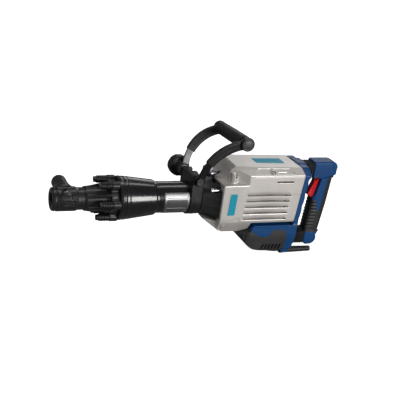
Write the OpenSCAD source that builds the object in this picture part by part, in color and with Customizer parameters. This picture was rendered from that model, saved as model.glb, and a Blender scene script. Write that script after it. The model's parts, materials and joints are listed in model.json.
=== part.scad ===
// Electric demolition hammer, about 16 kg class, hexagonal shank.
// X runs along the tool from the mouth of the shank bore (x = 0) to the rear handle.
// +Z is up, -Y is the side with the nameplate.

/* [Tool holder] */
// Across-flats size of the shank bore
shank_af = 30; // [28:0.5:30]
// Radius of the nose
nose_r = 29.5; // [29:0.5:30.5]
// Rear face of the nose casting
holder_end = 157; // [156:1:158]
// Radius of the circle that the six nose bolts stand on
bolt_circle_r = 46; // [45.5:0.5:46]

/* [Barrel] */
// Outside radius of the barrel
barrel_r = 39; // [38.5:0.5:39]
// Radius of the striker's cylinder
bore_r = 24; // [23.5:0.5:24]
// Rear face of the barrel flange
barrel_end = 405; // [404:1:405]

/* [Crank drive] */
// Radius of the crank pin's circle
crank_throw = 22; // [20:1:22]
// Length of the connecting rod between its eyes
rod_len = 92; // [92:1:93]

/* [Housings] */
// Half width of the body
body_half_w = 76; // [75:1:77]
// Height of the top of the shroud
body_top = 94; // [93:1:95]
// Height of the face that the tool rests on
base_z = -146; // [-147:1:-144]

/* [Side handle] */
// Height of the clamp's cross bolt
tilt_z = 56; // [55:1:57]
// Radius of the grip
grip_r = 17; // [15:0.5:17]
// Half the length of the grip between its arms
grip_half = 79; // [78:1:82]
// Angle that the clamp stands turned at around the barrel
swing = 4; // [0:1:6]

/* [Hidden] */
$fn = 96;
run_gap = 0.05;
soft_gap = 0.3;
wall = 4;

bolt_angles = [30:60:330];
flange_front = 138;
waist_r = 27;
retainer_x = 31;
retainer_z = 20;
retainer_r = 8;
boss_r = 18;
boss_end = 46;
pocket_r = 12;
pocket_floor = 28;

sleeve_end = 253;
barrel_start = 200;
liner_r = 28;
liner_start = 214;
liner_end = 392;
guide_end = 150;
chamber_r = 30;
striker_start = 245;
striker_len = 55;

crank_x = 452;
gear_centre = 48;
wrist_x = crank_x - rod_len;
gear_low_z = 44;
gear_low_h = 10;
gear_top_z = 57;
gear_top_h = 9;
bridge_low = 69;
bridge_high = 78;
mid_x = crank_x + gear_centre;
motor_x = mid_x + gear_centre;
pressure_angle = 20;
backlash = 0.12;
motor_pinion_teeth = 12;
mid_gear_teeth = 52;
mid_pinion_teeth = 13;
crank_gear_teeth = 35;
fast_module = 2 * gear_centre / (motor_pinion_teeth + mid_gear_teeth);
slow_module = 2 * gear_centre / (mid_pinion_teeth + crank_gear_teeth);
case_low = 24;
case_high = 42;
bearing_r = 21;
small_bearing_r = 13;

shroud_front = 405;
shroud_rear_low = 610;
shroud_rear_high = 624;
shroud_low = -54;
shoulder_z = 81;
top_half_w = 50;
rear_lean = (shroud_rear_high - shroud_rear_low) / (body_top - shroud_low);
edge_step = 0.5;
strip_w = 14;
stator_r = 49;
boot_top = -84;
hood_start = 366;
hood_end = shroud_front;
screw_z = 36;
guard_y = -40;
guard_z = base_z + 8;

strap_start = 336;
strap_w = 28;
strap_r = barrel_r + 4;
tilt_x = 345;
grip_x = 449;
grip_z = 156;
arm_y = 55;

handle_half_w = 18;
handle_x = 676;
mount_top_z = 72;
mount_low_z = -114;
guide_start = 627;

// ---------------------------------------------------------------- shared shapes

module bar_x(x0, x1, r, y = 0, z = 0) {
    translate([x0, y, z]) rotate([0, 90, 0]) cylinder(h = x1 - x0, r = r);
}

module bar_y(y0, y1, r, x, z) {
    translate([x, y0, z]) rotate([-90, 0, 0]) cylinder(h = y1 - y0, r = r);
}

module bar_z(z0, z1, r, x) {
    translate([x, 0, z0]) cylinder(h = z1 - z0, r = r);
}

module bar_z_at(x, y, z0, z1, r) {
    translate([x, y, z0]) cylinder(h = z1 - z0, r = r);
}

module ring_x(x0, x1, outer, inner) {
    difference() {
        bar_x(x0, x1, outer);
        bar_x(x0 - 1, x1 + 1, inner);
    }
}

module ring_z(z0, z1, outer, inner, x) {
    difference() {
        bar_z(z0, z1, outer, x);
        bar_z(z0 - 1, z1 + 1, inner, x);
    }
}

// A profile of [x, radius] points turned about the X axis
module turned_x(profile) {
    rotate([0, 90, 0]) rotate_extrude() polygon([for (p = profile) [p[1], p[0]]]);
}

// An outline of [x, z] points as a plate between two y values
module plate_y(outline, y0, y1) {
    translate([0, y1, 0]) rotate([90, 0, 0]) linear_extrude(height = y1 - y0) polygon(outline);
}

// An outline of [y, z] points as a bar along X
module bar_of(outline, x0, x1) {
    translate([x0, 0, 0]) rotate([90, 0, 90]) linear_extrude(height = x1 - x0) polygon(outline);
}

// Copies on the circle of nose bolts, each at its own angle from the top
module at_nose_bolts() {
    for (a = bolt_angles) {
        translate([0, bolt_circle_r * sin(a), bolt_circle_r * cos(a)]) children();
    }
}

function arc(cx, cz, r, from, to, steps) =
    [for (i = [0:steps]) let (a = from + (to - from) * i / steps) [cx + r * cos(a), cz + r * sin(a)]];

// ---------------------------------------------------------------- gears

function involute_angle(base, r) =
    let (roll = sqrt(max(0, r * r / (base * base) - 1))) roll * 180 / PI - atan(roll);

// One tooth's outline, root to root, centred on the given angle
function tooth(teeth, mod, centre) =
    let (
        pitch = teeth * mod / 2,
        base = pitch * cos(pressure_angle),
        tip = pitch + mod,
        root = pitch - 1.25 * mod,
        half = 90 / teeth - backlash / 2 / pitch * 180 / PI + involute_angle(base, pitch),
        start = max(base, root),
        steps = 5,
        radii = [for (i = [0:steps]) start + (tip - start) * i / steps]
    )
    concat(
        [[root, centre - half]],
        [for (r = radii) [r, centre - half + involute_angle(base, r)]],
        [for (i = [steps:-1:0]) [radii[i], centre + half - involute_angle(base, radii[i])]],
        [[root, centre + half]]
    );

module spur_gear(teeth, mod, low, h, phase, x) {
    polar = [for (i = [0:teeth - 1]) each tooth(teeth, mod, phase + i * 360 / teeth)];
    translate([x, 0, low]) linear_extrude(height = h)
        polygon([for (p = polar) p[0] * [cos(p[1]), sin(p[1])]]);
}

// ---------------------------------------------------------------- nose

module tool_holder() {
    color("dimgray") difference() {
        union() {
            turned_x([[0, 0], [0, 24], [5, nose_r], [58, nose_r], [63, waist_r], [78, waist_r], [81, 30],
                [128, 31], [flange_front, 36], [flange_front, 42], [holder_end, 42], [holder_end, 0]]);
            bar_y(0, boss_end, boss_r, retainer_x, retainer_z);
            bar_y(-26, 0, boss_r - 6, retainer_x, retainer_z);
            translate([24, -30.5, -10]) cube([34, 6, 20]);
            at_nose_bolts() bar_x(flange_front, holder_end, 10.5);
        }
        translate([-1, 0, 0]) rotate([0, 90, 0]) cylinder(h = 105, r = shank_af / sqrt(3), $fn = 6);
        bar_x(103, holder_end + 1, 22);
        bar_y(-28, boss_end + 1, retainer_r + run_gap, retainer_x, retainer_z);
        bar_y(pocket_floor, boss_end + 1, pocket_r + run_gap, retainer_x, retainer_z);
        at_nose_bolts() bar_x(flange_front - 1, holder_end + 1, 5.5);
    }
}

// The pin crosses the top of the bore; its flat side lets a shank pass when it is turned half round
module retainer_pin() {
    color("silver") difference() {
        union() {
            bar_y(-25, boss_end + 14, retainer_r, retainer_x, retainer_z);
            bar_y(pocket_floor + 0.2, pocket_floor + 2.2, 11.5, retainer_x, retainer_z);
        }
        translate([retainer_x - 10, -18, retainer_z - 2]) cube([20, 36, 12]);
    }
}

module retainer_knob() {
    color("#2b2b2d") difference() {
        union() {
            bar_y(boss_end + 0.5, boss_end + 17, boss_r, retainer_x, retainer_z);
            translate([retainer_x, boss_end + 17, retainer_z]) rotate([-90, 0, 0])
                cylinder(h = 3, r1 = boss_r, r2 = boss_r - 3);
        }
        bar_y(boss_end, boss_end + 14, retainer_r, retainer_x, retainer_z);
    }
}

module retainer_bush() {
    color("silver") difference() {
        bar_y(boss_end - 4, boss_end, pocket_r + run_gap, retainer_x, retainer_z);
        bar_y(boss_end - 5, boss_end + 1, retainer_r + run_gap, retainer_x, retainer_z);
    }
}

module retainer_washer() {
    color("gray") difference() {
        bar_y(pocket_floor + 2.3, pocket_floor + 3.8, 11.5, retainer_x, retainer_z);
        bar_y(pocket_floor, pocket_floor + 5, retainer_r + run_gap, retainer_x, retainer_z);
    }
}

module retainer_spring() {
    coils = 3;
    low = pocket_floor + 4;
    pitch = (boss_end - 4.2 - low) / coils;
    color("darkgray") difference() {
        union() {
            bar_y(low, low + coils * pitch, 10.2, retainer_x, retainer_z);
            for (i = [0:coils - 1]) bar_y(low + i * pitch, low + (i + 0.55) * pitch, 11, retainer_x, retainer_z);
        }
        bar_y(low - 1, boss_end, 9, retainer_x, retainer_z);
    }
}

// Six long bolts, each a hexagon head on a shank that ends in the sleeve
module nose_bolts() {
    color("#3a3a3c") at_nose_bolts() {
        difference() {
            union() {
                translate([106, 0, 0]) rotate([0, 90, 0]) cylinder(h = 7, r = 8, $fn = 6);
                bar_x(113, 175, 4.5);
            }
            translate([105, 0, 0]) rotate([0, 90, 0]) cylinder(h = 4, r = 3, $fn = 6);
        }
    }
}

// Ribbed stacks of disc springs between the bolt heads and the nose flange
module spring_stacks() {
    discs = 6;
    pitch = (flange_front - 113) / discs;
    color("#303032") at_nose_bolts() difference() {
        union() {
            bar_x(113, flange_front, 7.8);
            for (i = [0:discs - 1]) bar_x(113 + i * pitch, 113 + (i + 0.6) * pitch, 9);
        }
        bar_x(112, flange_front + 1, 5.5);
    }
}

module front_sleeve() {
    color("#18181a") difference() {
        turned_x([[holder_end, chamber_r], [holder_end, 52], [holder_end + 2, 54], [168, 54], [169, 52.5],
            [172, 52.5], [173, 53.5], [246, 43.8], [sleeve_end - 1, 42], [sleeve_end, barrel_r + 1],
            [sleeve_end, barrel_r], [barrel_start, barrel_r], [barrel_start, chamber_r]]);
        at_nose_bolts() bar_x(holder_end - 1, 175, 4.5);
    }
}

module bolt_guide() {
    color("#8a8a8c") ring_x(104, guide_end, 22, 13 + run_gap);
}

module impact_bolt() {
    color("#b0b0b4") {
        turned_x([[101, 0], [101, 11], [103, 13], [153, 13], [154, 19], [170, 19], [171, 13], [210, 13],
            [212, 11], [212, 0]]);
    }
}

module bolt_backstop() {
    color("#77777a") ring_x(182, barrel_start, chamber_r, 13 + run_gap);
}

// ---------------------------------------------------------------- barrel and striker

module barrel() {
    color("#18181a") turned_x([[barrel_start, liner_r], [barrel_start, barrel_r], [396, barrel_r],
        [396, 41], [barrel_end, 41], [barrel_end, liner_r]]);
}

// Curved rating plate with a raised rim, left blank
module nameplate() {
    plate_x0 = 270;
    plate_x1 = 334;
    color("silver") intersection() {
        union() {
            ring_x(plate_x0, plate_x1, barrel_r + 0.8, barrel_r);
            difference() {
                ring_x(plate_x0, plate_x1, barrel_r + 1.4, barrel_r);
                translate([plate_x0 + 4, -50, -14]) cube([plate_x1 - plate_x0 - 8, 30, 21]);
            }
        }
        bar_of([[0, 0], [-60, 45], [-60, -110]], plate_x0 - 1, plate_x1 + 1);
    }
}

module rubber_buffer() {
    color("#222222") ring_x(barrel_start, liner_start, liner_r, 16);
}

module cylinder_liner() {
    color("#9a9a9e") difference() {
        ring_x(liner_start, liner_end, liner_r, bore_r);
        for (side = [-1, 1]) bar_y(min(0, side * 40), max(0, side * 40), 3, 312, 0);
    }
}

module striker() {
    end = striker_start + striker_len;
    fit_r = bore_r - run_gap;
    color("#c4c4c8") turned_x([[striker_start, 0], [striker_start, 12], [striker_start + 3, fit_r],
        [striker_start + 34, fit_r], [striker_start + 34, fit_r - 3], [striker_start + 38, fit_r - 3],
        [striker_start + 38, fit_r], [striker_start + 44, fit_r], [striker_start + 44, fit_r - 3],
        [striker_start + 48, fit_r - 3], [striker_start + 48, fit_r], [end, fit_r], [end, 0]]);
}

module striker_rings() {
    color("#2a2a2a") for (x = [striker_start + 34, striker_start + 44]) {
        ring_x(x, x + 4, bore_r - run_gap, bore_r - run_gap - 3);
    }
}

module piston() {
    front = wrist_x - 30;
    fit_r = bore_r - run_gap;
    color("#c8c8cc") difference() {
        turned_x([[front, 0], [front, fit_r], [front + 8, fit_r], [front + 8, fit_r - 3],
            [front + 12, fit_r - 3], [front + 12, fit_r], [wrist_x + 14, fit_r], [wrist_x + 14, 0]]);
        translate([wrist_x - 14, -bore_r - 1, -8]) cube([40, 2 * bore_r + 2, 16]);
        bar_z(-bore_r, bore_r, 6, wrist_x);
    }
}

module piston_ring() {
    front = wrist_x - 30;
    color("#2a2a2a") ring_x(front + 8, front + 12, bore_r - run_gap, bore_r - run_gap - 3);
}

module wrist_pin() {
    color("silver") bar_z(-20, 20, 6, wrist_x);
}

module connecting_rod() {
    half_h = 7.5;
    color("#a0a0a4") difference() {
        union() {
            bar_z(-half_h, half_h, 11.5, wrist_x);
            bar_z(-half_h, half_h, 14, crank_x);
            translate([wrist_x, -6.5, -half_h]) cube([rod_len, 13, 2 * half_h]);
        }
        bar_z(-half_h - 1, half_h + 1, 6 + run_gap, wrist_x);
        bar_z(-half_h - 1, half_h + 1, 7, crank_x);
        translate([wrist_x + 18, -4, half_h - 3]) cube([rod_len - 40, 8, 4]);
        translate([wrist_x + 18, -4, -half_h - 1]) cube([rod_len - 40, 8, 4]);
    }
}

// The pin stays in the rod's big eye and stops just short of the crank disc
module crank_pin() {
    color("silver") bar_z(-9, 13 - soft_gap, 7, crank_x);
}

// ---------------------------------------------------------------- crank drive

module crankshaft() {
    shaft_r = 12;
    color("#8f8f94") union() {
        bar_z(13, 22, crank_throw + 14, crank_x);
        bar_z(22, case_low, 15, crank_x);
        bar_z(case_low, gear_low_z + gear_low_h, shaft_r - run_gap, crank_x);
    }
}

module crank_gear() {
    color("#75757a") difference() {
        spur_gear(crank_gear_teeth, slow_module, gear_low_z, gear_low_h, 180 / crank_gear_teeth, crank_x);
        bar_z(gear_low_z - 1, gear_low_z + gear_low_h + 1, 12 - run_gap, crank_x);
    }
}

module idler_shaft() {
    color("#8f8f94") {
        bar_z(32, gear_low_z, 6 - run_gap, mid_x);
        spur_gear(mid_pinion_teeth, slow_module, gear_low_z, gear_low_h, 180, mid_x);
        bar_z(gear_low_z + gear_low_h, gear_top_z, 8, mid_x);
        bar_z(gear_top_z, bridge_high, 6 - run_gap, mid_x);
    }
}

module idler_gear() {
    color("#75757a") difference() {
        spur_gear(mid_gear_teeth, fast_module, gear_top_z, gear_top_h, 180 / mid_gear_teeth, mid_x);
        bar_z(gear_top_z - 1, gear_top_z + gear_top_h + 1, 6 - run_gap, mid_x);
    }
}

// Two bearings of the crankshaft and two of the idler shaft
module gear_bearings() {
    color("#b8b8bc") {
        for (z = [case_low, case_low + 9]) ring_z(z, z + 8, bearing_r, 12, crank_x);
        for (z = [32, bridge_low]) ring_z(z, z + 9, small_bearing_r, 6, mid_x);
    }
}

// Cast plate that carries the bearings, with a front wall that the barrel bolts to
module crank_case() {
    half_w = 52;
    foot_w = 8;
    color("#9b9b98") difference() {
        union() {
            translate([barrel_end, -half_w, case_low]) cube([596 - barrel_end, 2 * half_w, case_high - case_low]);
            translate([barrel_end, -half_w, -32]) cube([7, 2 * half_w, case_low + 32]);
            for (side = [-1, 1]) {
                translate([mid_x - 10, side * (half_w - foot_w / 2) - foot_w / 2, case_high])
                    cube([20, foot_w, bridge_low - case_high]);
            }
            translate([mid_x - 10, -half_w, bridge_low]) cube([20, 2 * half_w, bridge_high - bridge_low]);
            bar_z(bridge_low, bridge_high, small_bearing_r + 5, mid_x);
        }
        bar_x(barrel_end - 1, barrel_end + 9, 29);
        bar_z(case_low - 1, case_high + 1, bearing_r, crank_x);
        bar_z(32, case_high + 1, small_bearing_r, mid_x);
        bar_z(case_low - 1, 34, small_bearing_r, motor_x);
        bar_z(30, case_high + 1, 9, motor_x);
        bar_z(bridge_low - 1, bridge_high + 1, small_bearing_r, mid_x);
    }
}

// Black cover that widens from the barrel to the front of the shroud
module front_hood() {
    color("#1d1d1f") difference() {
        hull() {
            bar_x(hood_start, hood_start + 2, barrel_r + 3, $fn = 48);
            bar_of([[-66, -32], [-66, 34], [-46, 50], [46, 50], [66, 34], [66, -32], [46, -43], [-46, -43]],
                hood_end - 2, hood_end);
        }
        bar_x(hood_start - 1, 396, barrel_r + soft_gap);
        bar_x(395.5, hood_end + 1, 41 + soft_gap);
        for (y = [-53, 53]) bar_x(hood_start, hood_end + 1, 6.5, y, screw_z);
    }
}

// Round cap on the front of the gear cover, where the crank drive is greased
module grease_cap() {
    color("#7d8086") {
        bar_x(392, 402, 8.5, 0, 61);
        bar_x(402, 412, 6, 0, 61);
    }
}

module cap_screw(shank) {
    difference() {
        union() {
            cylinder(h = 6, r = 6);
            translate([0, 0, -shank]) cylinder(h = shank, r = 4);
        }
        translate([0, 0, 3]) cylinder(h = 4, r = 2.9, $fn = 6);
    }
}

// A place on the sloping flank of the shroud's top
module on_chamfer(side) {
    translate([537, side * 63, 81]) rotate([-side * 19, 0, 0]) children();
}

// Socket screws of the hood, of the shroud's corner posts and of the shroud's top
module case_screws() {
    color("#b9b9bd") for (side = [-1, 1]) {
        translate([386, side * 53, screw_z]) rotate([0, -90, 0]) cap_screw(barrel_end - 386);
        translate([439, side * 57, 71]) cap_screw(22);
        on_chamfer(side) cap_screw(12);
    }
}

// ---------------------------------------------------------------- shroud

// Where the shroud's leaning rear edge stands at a height
function lean_at(z) = shroud_rear_low + rear_lean * (z - shroud_low);

// Side view of the body below its shoulder, drawn in by the given inset
function lower_outline(inset) = [
    [shroud_front + inset, -44], [shroud_front + inset, -63 + inset], [424, -78 + inset],
    [466, -80 + inset], [494, -68 + inset],
    [499, shroud_low + inset], [lean_at(shroud_low) - inset, shroud_low + inset], [lean_at(78) - inset, 78 - inset],
    [480, 78 - inset], [472, 57 - inset], [shroud_front + inset, 56 - inset]
];

// Side view of the raised top, with the round front of the gear cover
function upper_outline(inset) = concat(
    [[shroud_front + inset, 30], [shroud_front + inset, 57 - inset / 2]],
    [[422, 66 - inset / 2], [428 + inset / 2, 77 - inset / 2]],
    arc(450, 72, 24 - inset, 145, 75, 5),
    [[492, body_top - inset], [lean_at(body_top - 2) - inset - edge_step, body_top - 2 - inset],
        [lean_at(30) - inset - edge_step, 30]]
);

module shroud_form(inset) {
    half_w = body_half_w - inset;
    top_w = top_half_w - inset / 2;
    intersection() {
        plate_y(lower_outline(inset), -half_w, half_w);
        bar_of([[-half_w, 90], [half_w, 90], [half_w, -44], [half_w - 30, -80 + inset],
            [-half_w + 30, -80 + inset], [-half_w, -44]], 380, 640);
    }
    intersection() {
        plate_y(upper_outline(inset), -half_w, half_w);
        bar_of([[-half_w, 20], [-half_w, shoulder_z - inset / 2], [-top_w, body_top - 4 - inset],
            [-top_w + 6, body_top + 2 - inset], [top_w - 6, body_top + 2 - inset],
            [top_w, body_top - 4 - inset], [half_w, shoulder_z - inset / 2], [half_w, 20]], 380, 640);
        union() {
            bar_z(20, 110, top_half_w - inset, 455);
            translate([0, 0, 20]) linear_extrude(height = 90) polygon([
                [440 + inset, -48 + inset / 2], [440 + inset, 48 - inset / 2], [472 + inset / 2, half_w],
                [640, half_w], [640, -half_w], [472 + inset / 2, -half_w]
            ]);
        }
    }
}

// Wedge under the hood that carries the body forward to the barrel
module shroud_chin() {
    intersection() {
        plate_y([[372, -44], [shroud_front + 1, -45], [shroud_front + 1, -64]], -70, 70);
        translate([0, 0, -90]) linear_extrude(height = 60)
            polygon([[370, -34], [shroud_front + 2, -58], [shroud_front + 2, 58], [370, 34]]);
    }
}

module shroud() {
    louvres = 5;
    louvre_top = 26;
    pitch = 15.8;
    color("#c9c5c0") difference() {
        union() {
            difference() {
                shroud_form(0);
                shroud_form(wall);
            }
            shroud_chin();
            for (side = [-1, 1]) {
                bar_z_at(439, side * 57, 48, 71, 8.5);
            }
        }
        // open front, closed by the hood, and open rear and floor, closed by the motor housing
        bar_of([[-67, -33], [-67, 35], [-47, 51], [47, 51], [67, 35], [67, -33], [47, -43.9], [-47, -43.9]],
            shroud_front - 2, shroud_front + wall + 1);
        for (side = [-1, 1]) {
            bar_z_at(439, side * 57, 40, 72, 4);
            on_chamfer(side) {
                translate([0, 0, -14]) cylinder(h = 15, r = 4);
                cylinder(h = 20, r = 7);
            }
        }
        bar_x(396, 425, 6, 0, 61);
        translate([shroud_rear_low - 30, -body_half_w + wall, shroud_low + wall])
            cube([60, 2 * (body_half_w - wall), shoulder_z - shroud_low - 2 * wall]);
        translate([492, -body_half_w + wall, -80]) cube([138, 2 * (body_half_w - wall), 40]);
        for (side = [-1, 1]) {
            for (i = [0:louvres - 1]) {
                translate([472 - 2 * i, side * (body_half_w - 2) - 5, louvre_top - i * pitch]) cube([112, 10, 5]);
            }
            translate([544, side * body_half_w - 6, 61]) cube([49, 12, 4]);
        }
    }
}

// Height of the shroud's gently falling top
function top_at(x) = body_top - 2 * (x - 492) / (lean_at(body_top - 2) - edge_step - 492);

// Plain coloured stickers on the near side and on the top, with no lettering
module labels() {
    sticker = 0.4;
    front = 509;
    back = 589;
    color("#1592b0") {
        plate_y([[425, 34], [443, 33], [441, -22], [423, -22]], -body_half_w - sticker, -body_half_w);
        plate_y([[front, top_at(front)], [back, top_at(back)], [back, top_at(back) + sticker],
            [front, top_at(front) + sticker]], -17, 17);
    }
}

// ---------------------------------------------------------------- motor

module armature_shaft() {
    color("#9c9ca0") {
        bar_z(-116, gear_top_z, 6 - run_gap, motor_x);
        spur_gear(motor_pinion_teeth, fast_module, gear_top_z, gear_top_h, 180, motor_x);
    }
}

module armature_core() {
    slots = 16;
    color("#b0763a") difference() {
        bar_z(-66, -6, 27, motor_x);
        bar_z(-67, -5, 6 - run_gap, motor_x);
        for (i = [0:slots - 1]) {
            translate([motor_x, 0, -67]) rotate(i * 360 / slots) translate([23, -1.2, 0]) cube([6, 2.4, 62]);
        }
    }
}

module commutator() {
    bars = 24;
    color("#c07a3e") difference() {
        bar_z(-98, -76, 16, motor_x);
        bar_z(-99, -75, 6 - run_gap, motor_x);
        for (i = [0:bars - 1]) {
            translate([motor_x, 0, -99]) rotate(i * 360 / bars) translate([14.6, -0.4, 0]) cube([3, 0.8, 24]);
        }
    }
}

module fan() {
    blades = 12;
    color("#262628") difference() {
        union() {
            bar_z(2, 4, 44, motor_x);
            bar_z(2, 16, 12, motor_x);
            for (i = [0:blades - 1]) {
                translate([motor_x, 0, 3]) rotate(i * 360 / blades) translate([10, -1, 0]) cube([33, 2, 12]);
            }
        }
        bar_z(1, 17, 6 - run_gap, motor_x);
    }
}

module armature_bearings() {
    color("#b8b8bc") {
        ring_z(case_low + 1, 34, small_bearing_r, 6, motor_x);
        ring_z(-116, -107, small_bearing_r, 6, motor_x);
    }
}

module stator() {
    color("#6d6d70") difference() {
        bar_z(-70, -2, stator_r, motor_x);
        bar_z(-71, -1, 28, motor_x);
        for (side = [-1, 1]) {
            translate([motor_x, side * 27, -36]) cube([26, 24, 80], center = true);
        }
    }
}

module brush_holders() {
    color("#b5914c") for (side = [-1, 1]) difference() {
        translate([motor_x - 6, min(side * 20, side * 46), -94]) cube([12, 26, 14]);
        translate([motor_x - 4, min(side * 19, side * 44), -92]) cube([8, 25, 10]);
    }
}

module brushes() {
    color("#333333") for (side = [-1, 1]) {
        translate([motor_x - 3.9, min(side * 16.3, side * 36), -91.9]) cube([7.8, 19.7, 9.8]);
    }
}

// ---------------------------------------------------------------- housings

// Cross-section of the belly, drawn in by the given inset
function belly_section(inset) = [
    [-body_half_w + inset, 20], [body_half_w - inset, 20], [body_half_w - inset, -78 + inset / 2],
    [62 - inset, -124 + inset / 2], [32 - inset / 2, base_z + inset], [-32 + inset / 2, base_z + inset],
    [-62 + inset, -124 + inset / 2], [-body_half_w + inset, -78 + inset / 2]
];

// Side view of the belly: a round front under the shroud and a flat base
function belly_outline(inset) = concat(
    arc(560, -40, 96 - inset, 204, 268, 8),
    [[588, base_z + inset], [618 - inset, base_z + inset], [624 - inset, -128],
        [shroud_rear_low + strip_w - inset, shroud_low - 0.1], [500, shroud_low - 0.1], [495, -70]]
);

module belly_form(inset) {
    intersection() {
        plate_y(belly_outline(inset), -body_half_w, body_half_w);
        bar_of(belly_section(inset), 440, 660);
        translate([0, 0, base_z - 1]) linear_extrude(height = 120) polygon([
            [460 + inset, -40], [492 + inset, -body_half_w], [660, -body_half_w],
            [660, body_half_w], [492 + inset, body_half_w], [460 + inset, 40]
        ]);
    }
}

// Upright wall behind the shroud that leans with its rear edge
module rear_wall() {
    intersection() {
        plate_y([[lean_at(shroud_low - 4) + 0.1, shroud_low - 4], [lean_at(body_top) + 0.1, body_top - 2],
            [lean_at(body_top) + 22, body_top - 2], [lean_at(body_top) + strip_w, 70],
            [lean_at(shroud_low) + strip_w, shroud_low - 4]], -body_half_w, body_half_w);
        bar_of([[-75, -60], [-75, shoulder_z - 2], [-50, body_top - 5], [-44, body_top - 1], [44, body_top - 1],
            [50, body_top - 5], [75, shoulder_z - 2], [75, -60]], 600, 680);
    }
}

// The part of the belly that the boot covers, with a tab up each side
module boot_zone() {
    translate([440, -90, base_z - 1]) cube([160, 180, boot_top - base_z + 1]);
    plate_y([[540, boot_top - 1], [556, -66], [592, -66], [599, boot_top - 1]], -90, 90);
}

// Hollow blocks on the rear wall that the handle's guides and springs stand on
module handle_blocks() {
    intersection() {
        bar_of([[-26, 48], [-26, 89], [-20, body_top], [20, body_top], [26, 89], [26, 48]], 600, 650);
        plate_y([[lean_at(40) + 0.1, 40], [lean_at(body_top) + 0.1, body_top], [660, body_top], [660, 40]],
            -30, 30);
    }
    bar_of([[-20, -134], [-20, -94], [20, -94], [20, -134]], 612, 640);
}

module motor_housing() {
    boot_seat = 2.6;
    tub = stator_r + 4;
    color("#1f4488") difference() {
        union() {
            difference() {
                belly_form(0.1);
                belly_form(wall + 2);
                difference() {
                    boot_zone();
                    belly_form(boot_seat);
                }
            }
            rear_wall();
            handle_blocks();
            bar_x(601, 622, 12, guard_y, guard_z + 4);
            bar_z(-90, 20, tub, motor_x);
            intersection() {
                belly_form(wall);
                union() {
                    bar_z(-119, -89, tub, motor_x);
                    translate([motor_x - 2, -body_half_w, -100]) cube([4, 2 * body_half_w, 40]);
                    translate([motor_x, -2, -100]) cube([80, 4, 40]);
                }
            }
        }
        bar_z(-104, 21, stator_r, motor_x);
        bar_z(-116.5, -103, small_bearing_r, motor_x);
        for (z = [mount_top_z, mount_low_z]) bar_x(guide_start, 700, 6, 0, z);
        bar_x(600, 640, 9, guard_y, guard_z);
    }
}

module belly_boot() {
    vents = 6;
    color("#39393b") difference() {
        intersection() {
            belly_form(0);
            boot_zone();
        }
        belly_form(2.5);
        for (side = [-1, 1]) {
            for (i = [0:vents - 1]) {
                translate([552 + i * 7, side * 60, -118]) rotate([0, 12, 0]) cube([2.4, 30, 17], center = true);
            }
        }
    }
}

// ---------------------------------------------------------------- rear handle

module handle_guides() {
    color("silver") for (z = [mount_top_z, mount_low_z]) bar_x(guide_start, 688, 6, 0, z);
}

// Where each spring and bellows starts and ends: [height, start, end]
handle_links = [[mount_top_z, 650, handle_x - soft_gap], [mount_low_z, 640, 678.5]];

module handle_springs() {
    coils = 6;
    color("#8b8b8f") for (link = handle_links) {
        pitch = (link[2] - link[1]) / coils;
        difference() {
            union() {
                bar_x(link[1], link[2], 10, 0, link[0]);
                for (i = [0:coils - 1]) {
                    bar_x(link[1] + i * pitch, link[1] + (i + 0.6) * pitch, 11, 0, link[0]);
                }
            }
            bar_x(link[1] - 1, link[2] + 1, 6.6, 0, link[0]);
        }
    }
}

// Ribbed rubber sleeves around the guides and springs
module handle_bellows() {
    folds = 4;
    half_h = 19;
    color("#1c1c1d") for (link = handle_links) {
        pitch = (link[2] - link[1]) / folds;
        difference() {
            union() {
                translate([link[1], -21, link[0] - half_h + 2]) cube([link[2] - link[1], 42, 2 * half_h - 4]);
                for (i = [0:folds - 1]) {
                    translate([link[1] + i * pitch, -23, link[0] - half_h])
                        cube([pitch * 0.6, 46, 2 * half_h]);
                }
            }
            translate([link[1] - 1, -17, link[0] - half_h + 6]) cube([60, 34, 2 * half_h - 12]);
        }
    }
}

// Side view of the D-shaped handle without its rubber
function handle_outline() = concat(
    [[handle_x, 95]],
    arc(730, 79, 16, 90, -20, 6),
    [[744, 60], [738, 57], [734, -20], [722, -97], [720, -104]],
    arc(701, -119, 18, 30, -100, 5),
    [[690, -137], [681, -131], [682, -96], [681, -89], [686, -6], [694, 4], [704, 46], [697, 50], [handle_x, 50]]
);

module rear_handle() {
    color("#1f4488") difference() {
        union() {
            plate_y(handle_outline(), -handle_half_w, handle_half_w);
            plate_y([[handle_x, 95], [730, 95], [738, 60], [704, 50], [handle_x, 50]], -22, 22);
            plate_y([[681, -96], [708, -101], [714, -112], [707, -131], [690, -134], [681, -129]], -21, 21);
        }
        // room for the switch behind the trigger, and the sockets of the guides
        translate([676, -9, -20]) cube([38, 18, 78]);
        translate([707, -13, -16]) cube([11.2, 26, 64]);
        bar_y(-13, 13, 3 + run_gap, 697, 43);
        for (z = [mount_top_z, mount_low_z]) bar_x(660, 700, 6 + run_gap, 0, z);
        // rubber bands on the front and the back of the grip
        plate_y([[676, -88], [680, -14], [689.6, -14], [687, -88]], -30, 30);
        plate_y([[748, 56], [744, -20], [732, -96], [716, -96], [728, -20], [732, 56]], -30, 30);
    }
}

module handle_overmould() {
    color("#1b1b1d") {
        plate_y([[681.1, -87.9], [685.5, -14.1], [689.5, -14.1], [686.9, -87.9]], -handle_half_w, handle_half_w);
        plate_y([[737.9, 55.9], [734, -20], [722.2, -95.9], [716.1, -95.9], [728.1, -20], [732.1, 55.9]],
            -handle_half_w, handle_half_w);
    }
}

module power_switch() {
    color("#2e2e30") {
        translate([709, -12.8, -13.8]) cube([9, 25.6, 58]);
        bar_x(707, 709, 3, 0, 14);
    }
}

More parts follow.
